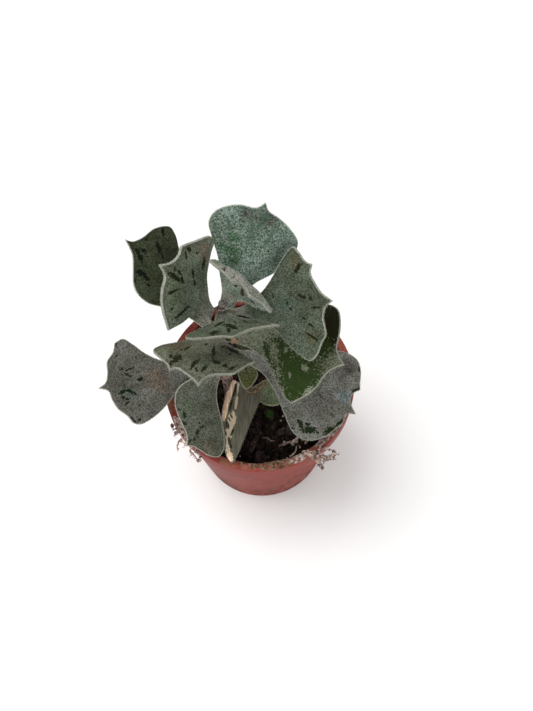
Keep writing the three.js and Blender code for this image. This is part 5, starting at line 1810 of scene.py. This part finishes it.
@dataclass
class Debris:
    """What lies on the lip and the soil: dried roots, mineral crust, bits of bark and a tiny round leaf."""

    soil: Soil
    root_radius: float = 0.34
    root_tip: float = 0.45
    kink: float = 0.35
    kink_size: float = 1.4
    strands: tuple[int, int] = (64, 30)
    strand_steps: int = 5
    strand_step: tuple[float, float] = (0.15, 0.36)
    strand_radius: tuple[float, float] = (0.07, 0.19)
    strand_outward: float = 0.3
    strand_sag: float = 0.15
    wander: float = 0.7
    clumps: tuple[int, int] = (26, 14)
    clump_spread: float = 0.2
    clump_reach: tuple[float, float] = (0.2, 0.55)
    crusts: tuple[Crust, ...] = (
        Crust("crust_front", SCALE, 262, 296, 0.7, 26.1, 1.2, ("crust_front",)),
        Crust("crust_right", PALE_SCALE, 312, 343, 0.6, 26.2, 1.1, ("crust_right",)),
        Crust("crust_front_pale", PALE_SCALE, 286, 300, 0.75, 26.2, 1.1),
        Crust("crust_left", WHITE_SCALE, 203, 224, 0.7, 26.5, 1.2),
        Crust("crust_right_pale", PALE_SCALE, 306, 322, 0.7, 25.9, 0.9),
        Crust("crust_front_thin", SCALE, 246, 266, 0.3, 25.6, 0.4),
    )
    litter: tuple[Litter, ...] = LITTER
    seedling: Place = (2.7, -6.9, 1.3)
    seedling_thick: float = 0.8

    def build(self) -> None:
        """Makes the roots, the crusts, the litter and the tiny leaf."""
        self.build_roots()
        grains = Scatter("crust_grains", "crumb", Copy.CRUMB)
        for crust in self.crusts:
            crust.build(grains)
        for litter in self.litter:
            litter.build()
        self.build_seedling()

    def build_roots(self) -> None:
        """Makes each bundle of kinked threads, with finer strands growing out of them."""
        finish = DRY_ROOT.make()
        for (name, threads), strands, clumps in zip(THREADS.items(), self.strands, self.clumps):
            parts, middles = [], []
            for number, thread in enumerate(threads):
                angle, radius, height = np.array(thread, float).T
                turn = np.radians(angle)
                places = np.stack([radius * np.cos(turn), radius * np.sin(turn), height], axis=1)
                dense = sample(smooth_line(places, 12), np.linspace(0, 1, 22))
                moved = [dense + 31 * number + 7 * axis for axis in range(3)]
                shake = np.column_stack([lumps(spot, self.kink_size) for spot in moved])
                dense[1:] += self.kink * shake[1:]
                radii = self.root_radius * np.linspace(1, self.root_tip, len(dense))
                stations = np.column_stack([dense, radii])
                parts.append(Rod(stations, sides=8, steps=70).build(wobble=0.4, size=0.7, seed=number))
                middles.append(dense[5:])
            parts += self.strands_from(np.vstack(middles), strands, clumps)
            settle(make_piece(f"{name}_threads", joined(parts), finish), "roots", name)

    def strands_from(self, middles: np.ndarray, strands: int, clumps: int) -> list[Shape]:
        """Grows fine wandering strands and clotted lumps from random places of a bundle.

        Args:
            middles: Places along the bundle's threads.
            strands: How many strands grow.
            clumps: How many lumps cling to the threads.

        Returns:
            The surface of each strand and lump.
        """
        draw = np.random.default_rng(strands)
        parts = []
        for number in range(strands):
            at = middles[draw.integers(len(middles))]
            outward = np.array([at[0], at[1], 0]) / np.hypot(at[0], at[1])
            way = self.strand_outward * outward + draw.normal(0, self.wander, 3) + (0, 0, -self.strand_sag)
            line = [at]
            for _ in range(self.strand_steps):
                way = way / np.linalg.norm(way) + draw.normal(0, self.wander, 3)
                line.append(line[-1] + way / np.linalg.norm(way) * draw.uniform(*self.strand_step))
            radii = draw.uniform(*self.strand_radius) * np.linspace(1, 0.5, len(line))
            strand = Rod(np.column_stack([line, radii]), sides=6, steps=16)
            parts.append(strand.build(wobble=0.5, size=0.4, seed=number))
        for number in range(clumps):
            at = middles[draw.integers(len(middles))] + draw.normal(0, self.clump_spread, 3)
            reach, turn = draw.uniform(*self.clump_reach, 3), draw.uniform(0, 180, 3)
            parts.append(pebble(at, reach, turn, 0.9, number))
        return parts

    def build_seedling(self) -> None:
        """Makes the tiny round leaf that lies on the soil."""
        x, y, radius = self.seedling
        half = self.seedling_thick / 2
        height = self.soil.top + float(self.soil.relief(np.array(x), np.array(y))) + self.soil.gap + half
        shape = pebble((x, y, height), (radius, radius, half))
        settle(make_piece("seedling_leaf_disc", shape, FRESH_LEAF.make()), "leaf_deep_green", "seedling_leaf")


@dataclass
class Studio:
    """The pale floor, the soft lights and the camera at the photo's angle."""

    elevation: float = 65.8
    distance: float = 289.15
    roll: float = -1.8
    aim_right: float = 2.05
    aim_up: float = 7.1
    aim_height: float = 50
    focal_pixels: float = 1000
    picture_height: float = 711
    sensor_height: float = 36
    floor_reach: float = 3000
    floor_gap: float = 0.05
    light_aim: Place = (0, 0, 60)
    lights: tuple[tuple[str, Place, float, float], ...] = (
        ("key", (-190, 80, 540), 420, 2.6),
        ("fill", (60, -330, 460), 160, 0.7),
    )
    surround: float = 0.56

    def build(self) -> None:
        """Sets the studio up."""
        self.build_camera()
        self.build_floor()
        self.build_lights()

    def build_camera(self) -> None:
        """Places the camera, looking down at the pot from the front."""
        tilt, roll = math.radians(self.elevation), math.radians(self.roll)
        back = Vector((0, -math.cos(tilt), math.sin(tilt)))
        level = Vector((1, 0, 0))
        upright = back.cross(level)
        right = math.cos(roll) * level + math.sin(roll) * upright
        up = -math.sin(roll) * level + math.cos(roll) * upright
        place = Vector((0, 0, self.aim_height)) + back * self.distance
        place = place + right * self.aim_right + up * self.aim_up
        data = bpy.data.cameras.new("camera")
        data.sensor_fit = "VERTICAL"
        data.sensor_height = self.sensor_height
        data.lens = self.focal_pixels * self.sensor_height / self.picture_height
        data.clip_start = 0.01
        camera = add_object("camera", data)
        camera.matrix_world = Matrix.Translation(place * MM) @ Matrix((right, up, back)).transposed().to_4x4()
        bpy.context.scene.camera = camera

    def build_floor(self) -> None:
        """Lays the floor."""
        reach, gap = self.floor_reach, -self.floor_gap
        corners = [(-reach, -reach, gap), (reach, -reach, gap), (reach, reach, gap), (-reach, reach, gap)]
        make_piece("floor", (corners, [(0, 1, 2, 3)]), PaleFloor().make())

    def build_lights(self) -> None:
        """Hangs a broad soft key light, a weaker fill and a pale surround."""
        for name, place, size, power in self.lights:
            data = bpy.data.lights.new(name, "AREA")
            data.size = size * MM
            data.energy = power
            at = Vector(place) * MM
            aim = Vector(self.light_aim) * MM - at
            light = add_object(name, data)
            light.matrix_world = Matrix.Translation(at) @ aim.to_track_quat("-Z", "Y").to_matrix().to_4x4()
        world = bpy.data.worlds.new("surround")
        world.use_nodes = True
        background = world.node_tree.nodes["Background"]
        background.inputs["Color"].default_value = (1.0, 1.0, 1.0, 1.0)
        background.inputs["Strength"].default_value = self.surround
        bpy.context.scene.world = world
        bpy.context.scene.view_settings.view_transform = "Standard"


def main() -> None:
    """Builds the plant piece by piece."""
    logging.basicConfig(level=logging.INFO, format="%(name)s: %(message)s")
    Studio().build()
    pot = Pot()
    pot.build()
    soil = Soil(pot)
    soil.build()
    stem = Stem()
    stem.build()
    Foliage().build(stem)
    Debris(soil).build()


if __name__ == "__main__":
    main()
